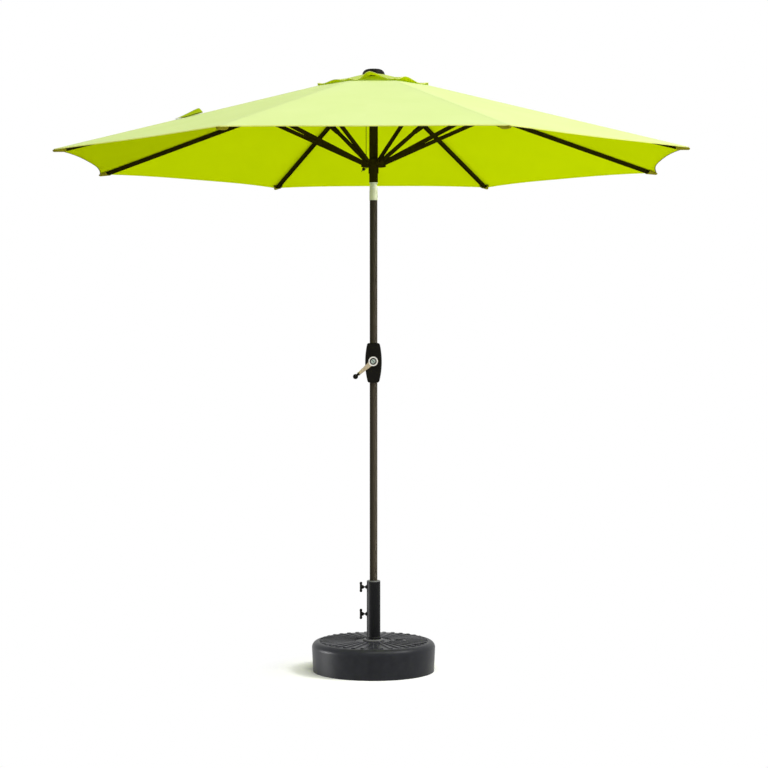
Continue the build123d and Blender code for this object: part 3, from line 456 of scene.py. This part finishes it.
def panel_normal(k):
    """Upward normal of the flat panel between ribs k and k + 1."""
    return ray(k).cross(ray(k + 1)).normalized()


def canopy_point(k, s, t):
    """Point on panel k: s runs from the apex to the hem, t from rib k to the next."""
    flat = (ray(k) * (1 - t) + ray(k + 1) * t) * (CANOPY_R * s)
    bow = 1 - abs(2 * t - 1) ** HEM_BOW
    flat *= 1 - HEM_SAG / (CANOPY_R * math.cos(STEP / 2)) * bow * s**3
    slack = CLOTH_SLACK * math.sin(math.pi * t) * s**1.5 * (1 - SLACK_EASE * s)
    return Vector((0, 0, APEX_Z)) + flat - panel_normal(k) * slack


def smooth_step(value):
    """0 up to 0 and 1 from 1 on, with a smooth rise between."""
    value = min(max(value, 0.0), 1.0)
    return value * value * (3 - 2 * value)


# Each vent flap's arch: how high it stands, and where across the panel it starts, peaks and ends
VENT_ARCHES = (
    (0.018, 0.08, 0.55, 0.95),
    (0.024, 0.05, 0.45, 0.92),
    (0.017, 0.10, 0.50, 0.95),
    (0.014, 0.06, 0.42, 0.90),
    (0.013, 0.08, 0.55, 0.94),
    (0.036, 0.16, 0.44, 0.96),
    (0.021, 0.02, 0.32, 0.80),
    (0.016, 0.10, 0.50, 0.92),
)
VENT_CURL = 0.009
CURL_START = 0.85


def vent_point(k, s, t):
    """Point on the vent flap over panel k, arched up between its ribs, its corners curling up."""
    lift, start, peak, end = VENT_ARCHES[k % RIB_COUNT]
    flat = (ray(k) * (1 - t) + ray(k + 1) * t) * (VENT_R * s)
    arch = smooth_step((t - start) / (peak - start)) * smooth_step((end - t) / (end - peak))
    curl = VENT_CURL * smooth_step((s - CURL_START) / (1 - CURL_START)) * abs(2 * t - 1) ** 3
    return Vector((0, 0, VENT_Z)) + flat + Vector((0, 0, lift * arch * s**3 + curl))


def surface_normal(point, k, s, t):
    """Normal of a panel's surface by small steps."""
    d = 1e-3
    t0, t1 = max(t - d, 0.0), min(t + d, 1.0)
    along = point(k, s + d, t) - point(k, s - d, t)
    across = point(k, s, t1) - point(k, s, t0)
    return along.cross(across).normalized()


# Painted shade on the underside of each panel, from the one after the first rib: how light each is
PANEL_SHADING = (1.0, 1.0, 1.0, 0.82, 0.97, 0.97, 0.97, 0.93)
# Panels whose hem has painted shade along its edge, at the left and right
SHADED_HEM_PANELS = (3, 7)
# Material slots of a gore
SLOT_TOP, SLOT_UNDER, SLOT_HEM, SLOT_EDGE = range(4)
CROWDING = 1.35
ROUNDING = 1e-6
ROW_CLEARANCE = 0.004


def panel_shares(columns):
    """Places across half a panel, close together at the rib, from 0 to 0.5."""
    return [0.5 * (i / columns) ** CROWDING for i in range(columns + 1)]


def gore(name, point, k, rows, columns, reach, hem, fold, materials):
    """Mesh of the two half panels beside rib k, with an upper and a lower face.

    hem lists the distances from the edge where the hem's fold starts and where it is full, and fold
    is how much it thickens the cloth.
    """
    shares = panel_shares(columns)
    sides = [(k - 1, 1 - t, -1) for t in reversed(shares[1:])] + [(k, t, 1) for t in shares]
    count = len(sides)
    top, under, panel_uv = [], [], []
    for s in rows:
        for panel, t, side in sides:
            place = point(panel, s, t)
            up = surface_normal(point, panel, s, t)
            if t in (0, 1):
                beside = surface_normal(point, k - 1, s, 1), surface_normal(point, k, s, 0)
                up = (beside[0] + beside[1]).normalized()
            into_hem = (hem[0] - reach * (rows[-1] - s)) / (hem[0] - hem[1])
            top.append((place + up * CLOTH_T, up))
            under.append((place - up * fold * smooth_step(into_hem), -up))
            ridge = Vector((0, 0, point(k, 0, 0).z)) + ray(k) * (reach * s)
            panel_uv.append((side * (place - ridge).length, reach * s))
    total = len(top)
    verts = [p for p, _ in top] + [p for p, _ in under]
    normals = [n for _, n in top] + [n for _, n in under]
    owners = [(k - 1 if j < columns else k) % RIB_COUNT for j in range(count - 1)]
    # Each face keeps its panel's painted shade
    faces, slots, face_shading = [], [], []
    for i in range(len(rows) - 1):
        edge = reach * (rows[-1] - rows[i + 1])
        bands = sum(edge < width - ROUNDING for width in hem)
        for j, owner in enumerate(owners):
            a, b = i * count + j, i * count + j + 1
            c, d = b + count, a + count
            faces.append((a, d, c, b))
            slots.append(SLOT_HEM if bands else SLOT_TOP)
            faces.append((total + a, total + b, total + c, total + d))
            # Under the full hem band of a side panel, the dark edge cloth paints shade
            slots.append(SLOT_EDGE if bands == len(hem) and owner in SHADED_HEM_PANELS else SLOT_UNDER)
            face_shading += [PANEL_SHADING[owner]] * 2
    border = len(faces)
    for j, owner in enumerate(owners):
        a = (len(rows) - 1) * count + j
        faces.append((a, total + a, total + a + 1, a + 1))
        # The rim of a side panel's hem takes the dark edge cloth as painted shade
        slots.append(SLOT_EDGE if owner in SHADED_HEM_PANELS else SLOT_HEM)
        faces.append((j, j + 1, total + j + 1, total + j))
        slots.append(SLOT_HEM)
    for i in range(len(rows) - 1):
        a, b = i * count, (i + 1) * count
        faces.append((a, total + a, total + b, b))
        a, b = a + count - 1, b + count - 1
        faces.append((a, b, total + b, total + a))
    slots += [SLOT_HEM] * (len(faces) - len(slots))
    face_shading += [1.0] * (len(faces) - border)
    mesh = bpy.data.meshes.new(name)
    mesh.from_pydata(verts, [], faces)
    for material in materials:
        mesh.materials.append(material)
    mesh.polygons.foreach_set("material_index", slots)
    mesh.uv_layers.new(name="panel")
    mesh.color_attributes.new("panel_shading", "FLOAT_COLOR", "CORNER")
    layer = mesh.uv_layers["panel"]
    panel_shading = mesh.color_attributes["panel_shading"]
    loop_normals = []
    for face in mesh.polygons:
        face.use_smooth = True
        for loop in face.loop_indices:
            v = mesh.loops[loop].vertex_index
            layer.data[loop].uv = panel_uv[v % total]
            panel_shading.data[loop].color = rgb(*[face_shading[face.index]] * 3)
            loop_normals.append(face.normal if face.index >= border else normals[v])
    mesh.normals_split_custom_set([tuple(n) for n in loop_normals])
    piece = bpy.data.objects.new(name, mesh)
    scene.collection.objects.link(piece)
    return piece


def fold_with(piece, k):
    """Let a soft piece ride rib k, on its own copy of its mesh."""
    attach(piece, f"rib_{k + 1}")
    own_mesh(piece)


def rows_to_hem(inner, count, reach, hem):
    """Shares of the reach from the inner edge to the hem, with a row at each band."""
    start = inner / reach
    rows = [start + (1 - start) * i / count for i in range(count)]
    rows = [s for s in rows if reach * (1 - s) > hem[0] + ROW_CLEARANCE]
    return rows + [1 - width / reach for width in hem] + [1.0]


SLEEVE_SEGMENTS = 24
SLEEVE_SQUARENESS = 0.55
SLEEVE_U = 0.05
SLEEVE_U_RUN = 0.02


def tapered_sleeve(name, k, stations, material):
    """Closed-tip cloth pocket under the end of rib k.

    Stations hold the distance along the rib, half the width at the top and at the bottom, and the
    heights of bottom and top.
    """
    out = Vector((math.cos(azimuth(k)), math.sin(azimuth(k)), 0))
    along_dir = out * math.cos(RIB_SLOPE) - Vector((0, 0, math.sin(RIB_SLOPE)))
    up = out * math.sin(RIB_SLOPE) + Vector((0, 0, math.cos(RIB_SLOPE)))
    side = Vector((-out.y, out.x, 0))
    origin = out * PIVOT_R + Vector((0, 0, HUB_Z))
    segments = SLEEVE_SEGMENTS
    verts, uvs, faces = [], [], []
    for along, half_top, half_low, low, high in stations:
        middle, tall = (low + high) / 2, (high - low) / 2
        for i in range(segments):
            angle = 2 * math.pi * i / segments
            c, s = math.cos(angle), math.sin(angle)
            z = math.copysign(abs(s) ** SLEEVE_SQUARENESS, s)
            half = half_low + (half_top - half_low) * (z + 1) / 2
            x = half * math.copysign(abs(c) ** SLEEVE_SQUARENESS, c)
            z = middle + tall * z
            verts.append(origin + along_dir * along + side * x + up * z)
            uvs.append((SLEEVE_U + SLEEVE_U_RUN * i / segments, along))
    for row in range(len(stations) - 1):
        for i in range(segments):
            a, b = row * segments + i, row * segments + (i + 1) % segments
            faces.append((a, b, b + segments, a + segments))
    faces.append(tuple((len(stations) - 1) * segments + i for i in range(segments)))
    mesh = bpy.data.meshes.new(name)
    mesh.from_pydata(verts, [], faces)
    mesh.materials.append(material)
    layer = mesh.uv_layers.new(name="panel")
    for loop in mesh.loops:
        layer.data[loop.index].uv = uvs[loop.vertex_index]
    for face in mesh.polygons:
        face.use_smooth = len(face.vertices) == 4
    piece = bpy.data.objects.new(name, mesh)
    scene.collection.objects.link(piece)
    return piece


HEM_BANDS = (0.009, 0.0035)
VENT_BANDS = (0.009, 0.005)
HEM_FOLD = 0.0022
VENT_FOLD = 0.0010
MAIN_ROWS = 30
VENT_ROWS = 10
MAIN_COLUMNS = 16
VENT_COLUMNS = 12
main_rows = rows_to_hem(CANOPY_INNER_R, MAIN_ROWS, CANOPY_R, HEM_BANDS)
vent_rows = rows_to_hem(VENT_INNER_R, VENT_ROWS, VENT_R, VENT_BANDS)
cloth_set = (cloth_top_sheen, cloth_under, cloth_hem_highlight, cloth_edge_shade)
vent_set = (cloth_vent_sheen, cloth_vent_under, cloth_hem_highlight, cloth_hem_highlight)
pocket_stations = (
    (1.2590, 0.0270, 0.0130, -0.0098, 0.0080),
    (1.2620, 0.0272, 0.0125, -0.0096, 0.0082),
    (1.2740, 0.0200, 0.0105, -0.0068, 0.0084),
    (1.2880, 0.0125, 0.0080, -0.0036, 0.0085),
    (1.3020, 0.0075, 0.0062, -0.0006, 0.0085),
    (1.3066, 0.0040, 0.0034, 0.0020, 0.0085),
)
for k in range(RIB_COUNT):
    main = gore(
        f"gore_{k + 1}",
        canopy_point,
        k,
        main_rows,
        MAIN_COLUMNS,
        CANOPY_R,
        HEM_BANDS,
        HEM_FOLD,
        cloth_set,
    )
    flap = gore(
        f"vent_flap_{k + 1}",
        vent_point,
        k,
        vent_rows,
        VENT_COLUMNS,
        VENT_R,
        VENT_BANDS,
        VENT_FOLD,
        vent_set,
    )
    pocket = tapered_sleeve(f"tip_pocket_{k + 1}", k, pocket_stations, cloth_olive)
    fold_with(main, k)
    fold_with(flap, k)
    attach(pocket, f"rib_{k + 1}")
    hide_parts(f"canopy_gore_{k + 1}")

# Tie strap: a ribbon sewn to the seam of the left front rib, its loop standing up.
# Each place has the distance from the apex and the height above the seam.
STRAP_RIB = 4
STRAP_T = 0.0010
STRAP_HALF = (0.0100, 0.0150)
STRAP_DROOP = 0.001
STRAP_ROLL = 0.6
STRAP_LINE = (
    (0.8500, 0.0016),
    (0.8150, 0.0025),
    (0.7800, 0.0060),
    (0.7540, 0.0095),
    (0.7445, 0.0125),
    (0.7490, 0.0152),
    (0.7670, 0.0140),
    (0.7950, 0.0100),
    (0.8250, 0.0062),
    (0.8530, 0.0040),
)
STRAP_STEPS = 6
STRAP_COLUMNS = 6
# Place across the cloth's pattern at the strap's edges, which puts a row of stitches along each
STRAP_EDGE_U = 0.0076


def smooth_line(line, steps):
    """Places on a smooth line through given places."""
    line = [Vector(place) for place in line]
    line = [2 * line[0] - line[1], *line, 2 * line[-1] - line[-2]]
    places = []
    for a, b, c, d in zip(line, line[1:], line[2:], line[3:]):
        for i in range(steps):
            t = i / steps
            bend = (2 * a - 5 * b + 4 * c - d) * t * t + (3 * b - 3 * c + d - a) * t**3
            places.append(b + (c - a) * t / 2 + bend / 2)
    return places + [line[-2]]


def strap_mesh(name, k):
    """Ribbon loop over rib k's seam, rolled over to one side."""
    out = Vector((math.cos(azimuth(k)), math.sin(azimuth(k)), 0))
    side = Vector((-out.y, out.x, 0))
    along_dir = ray(k).normalized()
    up = side.cross(along_dir)
    up = up if up.z > 0 else -up
    origin = Vector((0, 0, APEX_Z)) + up * CLOTH_T
    places = smooth_line(STRAP_LINE, STRAP_STEPS)
    columns = STRAP_COLUMNS
    layers, uvs = ([], []), []
    walked = 0.0
    for i, place in enumerate(places):
        back, ahead = places[max(i - 1, 0)], places[min(i + 1, len(places) - 1)]
        run = (ahead - back).normalized()
        face = along_dir * -run.y + up * run.x
        walked += (place - back).length
        swell = math.sin(math.pi * i / (len(places) - 1))
        half = STRAP_HALF[0] + (STRAP_HALF[1] - STRAP_HALF[0]) * swell
        for j in range(columns + 1):
            across = 2 * j / columns - 1
            height = place.y - (STRAP_DROOP * across**2 + STRAP_ROLL * half * across) * swell
            middle = origin + along_dir * place.x + up * height
            middle += side * half * across
            layers[0].append(middle + face * STRAP_T / 2)
            layers[1].append(middle - face * STRAP_T / 2)
            uvs.append((STRAP_EDGE_U * across, walked))
    total, count = len(uvs), columns + 1
    faces = []
    for i in range(len(places) - 1):
        for j in range(columns):
            a, b = i * count + j, i * count + j + 1
            faces.append((a, b, b + count, a + count))
            faces.append((total + a, total + a + count, total + b + count, total + b))
        for a, flip in ((i * count, False), (i * count + columns, True)):
            rim = (a, a + count, total + a + count, total + a)
            faces.append(rim[::-1] if flip else rim)
    for a, flip in ((0, True), ((len(places) - 1) * count, False)):
        for j in range(columns):
            rim = (a + j, a + j + 1, total + a + j + 1, total + a + j)
            faces.append(rim[::-1] if flip else rim)
    mesh = bpy.data.meshes.new(name)
    mesh.from_pydata(layers[0] + layers[1], [], faces)
    mesh.materials.append(cloth_strap)
    layer = mesh.uv_layers.new(name="panel")
    for loop in mesh.loops:
        layer.data[loop.index].uv = uvs[loop.vertex_index % total]
    mesh.shade_smooth()
    piece = bpy.data.objects.new(name, mesh)
    scene.collection.objects.link(piece)
    return piece


strap = strap_mesh("tie_strap", STRAP_RIB)
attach(strap, f"rib_{STRAP_RIB + 1}")


# Lift cord: up the pole, over the pulley and down to the runner, with a knot below it
CORD_STRAIGHT = 6 * CORD_D


def cord_curve(name, points, radius, material, cyclic=False):
    """A round cord along one smooth spline."""
    curve = bpy.data.curves.new(name, "CURVE")
    curve.dimensions = "3D"
    curve.bevel_depth = radius
    curve.bevel_resolution = 3
    curve.use_fill_caps = True
    spline = curve.splines.new("NURBS")
    spline.points.add(len(points) - 1)
    for point, place in zip(spline.points, points):
        point.co = (*place, 1.0)
    spline.order_u = 3
    spline.resolution_u = 12
    spline.use_cyclic_u = cyclic
    spline.use_endpoint_u = not cyclic
    curve.materials.append(material)
    piece = bpy.data.objects.new(name, curve)
    scene.collection.objects.link(piece)
    return piece


upper_low, upper_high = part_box("lift_cord_upper")
lower_low, lower_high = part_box("lift_cord_lower")
wind_x = upper_high.x - CORD_D / 2
fall_x = upper_low.x + CORD_D / 2
crest_z = upper_high.z - CORD_D / 2
shoulder_z = crest_z - (wind_x - fall_x) / 2
cord_end_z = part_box("runner")[0].z + RUNNER_SLEEVE - RUNNER_HALF
upper_route = [
    (wind_x, 0, upper_low.z),
    (wind_x, 0, shoulder_z - CORD_STRAIGHT),
    (wind_x, 0, crest_z + CORD_D / 2),
    (fall_x, 0, crest_z + CORD_D / 2),
    (fall_x, 0, shoulder_z - CORD_STRAIGHT),
    (fall_x, 0, cord_end_z),
]
upper_cord = cord_curve("cord_upper", upper_route, CORD_D / 2, braid)
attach(upper_cord, "head")
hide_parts("lift_cord_upper")
lower_middle_z = (lower_low.z + lower_high.z) / 2
lower_route = [(wind_x, 0, z) for z in (lower_low.z, lower_middle_z, lower_high.z)]
lower_cord = cord_curve("cord_lower", lower_route, CORD_D / 2, braid)
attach(lower_cord, "pole")
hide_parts("lift_cord_lower")

# Overhand knot under the runner, drawn tight into a ball, with the cord's tail leading to it.
# The knot's swell, height, winding and strand are shares of its radius.
KNOT_POINTS = 36
KNOT_SWELL = 0.48
KNOT_RIPPLE = 0.20
KNOT_TALL = 0.56
KNOT_WIND = 0.56
KNOT_STRAND = 0.56
knot_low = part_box("cord_knot")[0]
knot_middle = Vector((knot_low.x + KNOT_R, 0, knot_low.z + KNOT_R))
knot_points = []
for i in range(KNOT_POINTS):
    turn = 2 * math.pi * i / KNOT_POINTS
    swell = KNOT_SWELL + KNOT_RIPPLE * math.cos(3 * turn)
    height = KNOT_TALL * math.sin(3 * turn)
    wind = Vector((swell * math.cos(2 * turn), swell * math.sin(2 * turn), height))
    knot_points.append(knot_middle + KNOT_WIND * KNOT_R * wind)
knot = cord_curve("knot", knot_points, KNOT_STRAND * KNOT_R, braid, cyclic=True)
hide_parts("cord_knot")
tail = cord_curve(
    "cord_tail",
    [
        (fall_x, 0, cord_end_z + 0.004),
        (fall_x, 0, cord_end_z - 0.006),
        (fall_x - 0.002, 0, knot_middle.z),
        knot_middle,
        knot_middle + Vector((-0.006, 0, -0.004)),
        knot_middle + Vector((-0.009, 0, -0.011)),
    ],
    CORD_D / 2,
    braid,
)
for piece in (knot, tail):
    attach(piece, "runner")

# Coil spring behind the tilt button
SPRING_WIRE = 0.0012
SPRING_TURNS = 4
SPRING_STEPS = 12
spring_low, spring_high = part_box("button_spring")
spring_r = (spring_high.z - spring_low.z - SPRING_WIRE) / 2
spring_middle = (spring_low + spring_high) / 2
spring_len = spring_high.x - spring_low.x
coil_points = []
coil_count = SPRING_STEPS * SPRING_TURNS
for i in range(coil_count + 1):
    turn = 2 * math.pi * i / SPRING_STEPS
    place = spring_low.x + SPRING_WIRE / 2 + (spring_len - SPRING_WIRE) * i / coil_count
    ring_place = Vector((0, math.cos(turn), math.sin(turn))) * spring_r
    coil_points.append(Vector((place, spring_middle.y, spring_middle.z)) + ring_place)
coil_curve = cord_curve("coil", coil_points, SPRING_WIRE / 2, steel)
coil = bpy.data.objects.new("coil_spring", bpy.data.meshes.new_from_object(coil_curve))
bpy.data.objects.remove(coil_curve)
scene.collection.objects.link(coil)
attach(coil, "pole")
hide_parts("button_spring")
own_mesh(coil)


# Floor, light and camera
def seen_rays(tree):
    """1 for rays that see the background: from the camera, off gloss or through glass."""
    path = add_node(tree, "ShaderNodeLightPath")
    shiny = maths(tree, "MAXIMUM", path.outputs["Is Glossy Ray"], path.outputs["Is Transmission Ray"])
    return maths(tree, "MAXIMUM", path.outputs["Is Camera Ray"], shiny)


# The floor's own paint shows near the base, and fades to the white background further out
FLOOR_HALF = 40
FADE_START = 0.25
FADE_END = 0.5
WHITE = rgb(1.0, 1.0, 1.0)
floor_mesh = bpy.data.meshes.new("floor")
corner_signs = ((-1, -1), (1, -1), (1, 1), (-1, 1))
floor_corners = [(x * FLOOR_HALF, y * FLOOR_HALF, 0) for x, y in corner_signs]
floor_mesh.from_pydata(floor_corners, [], [(0, 1, 2, 3)])
floor = bpy.data.objects.new("floor", floor_mesh)
scene.collection.objects.link(floor)
pale, pale_tree, pale_shader = new_material("floor_paint")
pale_shader.inputs["Base Color"].default_value = rgb(0.92, 0.92, 0.92)
pale_shader.inputs["Roughness"].default_value = 0.9
pale_shader.inputs["Specular IOR Level"].default_value = 0.1
floor_mesh.materials.append(pale)
spot = add_node(pale_tree, "ShaderNodeTexCoord")
from_middle = add_node(pale_tree, "ShaderNodeVectorMath", operation="LENGTH")
fade = add_node(
    pale_tree,
    "ShaderNodeMapRange",
    {"From Min": FADE_START, "From Max": FADE_END},
    interpolation_type="SMOOTHSTEP",
)
white = add_node(pale_tree, "ShaderNodeEmission", {"Color": WHITE, "Strength": 1.0})
floor_pick = add_node(pale_tree, "ShaderNodeMixShader")
pale_tree.links.new(spot.outputs["Object"], from_middle.inputs[0])
pale_tree.links.new(from_middle.outputs["Value"], fade.inputs["Value"])
shown = maths(pale_tree, "MULTIPLY", fade.outputs["Result"], seen_rays(pale_tree))
pale_tree.links.new(shown, floor_pick.inputs["Fac"])
pale_tree.links.new(pale_shader.outputs["BSDF"], floor_pick.inputs[1])
pale_tree.links.new(white.outputs["Emission"], floor_pick.inputs[2])
floor_surface = pale_tree.nodes["Material Output"].inputs["Surface"]
pale_tree.links.new(floor_pick.outputs["Shader"], floor_surface)

# Light of the studio: all round, from both sides, more from the left, from behind and from above
SKY_LEVEL = 0.36
SKY_SIDES = 0.18
SKY_LEFT = 0.06
SKY_BEHIND = 0.1
SKY_ABOVE = 0.25
world = bpy.data.worlds.new("studio")
world.use_nodes = True
scene.world = world
sky = world.node_tree
backdrop = sky.nodes["Background"]
backdrop.inputs["Color"].default_value = WHITE
backdrop.inputs["Strength"].default_value = 1.0
direction = add_node(sky, "ShaderNodeTexCoord")
parts = add_node(sky, "ShaderNodeSeparateXYZ")
sky.links.new(direction.outputs["Generated"], parts.inputs["Vector"])
x_squared = maths(sky, "MULTIPLY", parts.outputs["X"], parts.outputs["X"])
right_less = maths(sky, "MULTIPLY", parts.outputs["X"], SKY_LEFT)
side_glow = maths(sky, "MULTIPLY", x_squared, maths(sky, "SUBTRACT", SKY_SIDES, right_less))
behind = maths(sky, "MULTIPLY", parts.outputs["Y"], SKY_BEHIND)
above = maths(sky, "MULTIPLY", parts.outputs["Z"], SKY_ABOVE)
level = maths(sky, "ADD", maths(sky, "ADD", side_glow, behind), SKY_LEVEL)
level = maths(sky, "ADD", level, above)
light = add_node(sky, "ShaderNodeBackground", {"Color": WHITE})
sky.links.new(level, light.inputs["Strength"])
pick = add_node(sky, "ShaderNodeMixShader")
sky.links.new(seen_rays(sky), pick.inputs["Fac"])
sky.links.new(light.outputs["Background"], pick.inputs[1])
sky.links.new(backdrop.outputs["Background"], pick.inputs[2])
sky.links.new(pick.outputs["Shader"], sky.nodes["World Output"].inputs["Surface"])


def softbox(name, place, aim, size, power, spread=180.0, only=()):
    """A lamp of a given width and height that the camera doesn't see.

    With only, it lights just the CAD nodes that have one of these materials.
    """
    lamp = bpy.data.lights.new(name, "AREA")
    lamp.shape = "RECTANGLE"
    lamp.size, lamp.size_y = size
    lamp.energy = power
    lamp.spread = math.radians(spread)
    holder = bpy.data.objects.new(name, lamp)
    holder.location = place
    holder.rotation_euler = (Vector(aim) - Vector(place)).to_track_quat("-Z", "Y").to_euler()
    holder.visible_camera = False
    scene.collection.objects.link(holder)
    if only:
        lit = bpy.data.collections.new(f"{name}_lit")
        for node in nodes.values():
            if node.data.materials[0] in only:
                lit.objects.link(node)
        holder.light_linking.receiver_collection = lit


softbox("key", place=(11.0, -3.1, 13.4), aim=(0, 0, 2.0), size=(5.0, 5.0), power=2350)
softbox(
    "left_edge",
    place=(-3.2, 0.2, 0.06),
    aim=(0, 0, 0.06),
    size=(1.0, 0.1),
    power=5,
    spread=40,
    only=(charcoal, stem_black),
)
softbox(
    "right_strip",
    place=(3.2, -1.2, 1.0),
    aim=(0, 0, 1.0),
    size=(0.6, 2.0),
    power=12,
    spread=36,
    only=(bronze, silver),
)
softbox(
    "base_top",
    place=(0.2, -0.75, 1.7),
    aim=(0, -0.1, 0.1),
    size=(0.7, 0.7),
    power=2.5,
    spread=90,
)

# The camera at the photo's viewing angle, level, turned slightly round the pole
VIEW_TURN = math.radians(1.68)
VIEW_BACK = 7.5
VIEW_HEIGHT = 1.297
eye = bpy.data.cameras.new("camera")
eye.sensor_width = 36.0
eye.lens = 86.9
eye.shift_x = 0.0136
eye.shift_y = -0.0447
camera = bpy.data.objects.new("camera", eye)
view_out = Vector((math.sin(VIEW_TURN), -math.cos(VIEW_TURN), 0))
camera.location = VIEW_BACK * view_out + Vector((0, 0, VIEW_HEIGHT))
camera.rotation_euler = (math.pi / 2, 0, VIEW_TURN)
scene.collection.objects.link(camera)
scene.camera = camera
scene.view_settings.view_transform = "Standard"
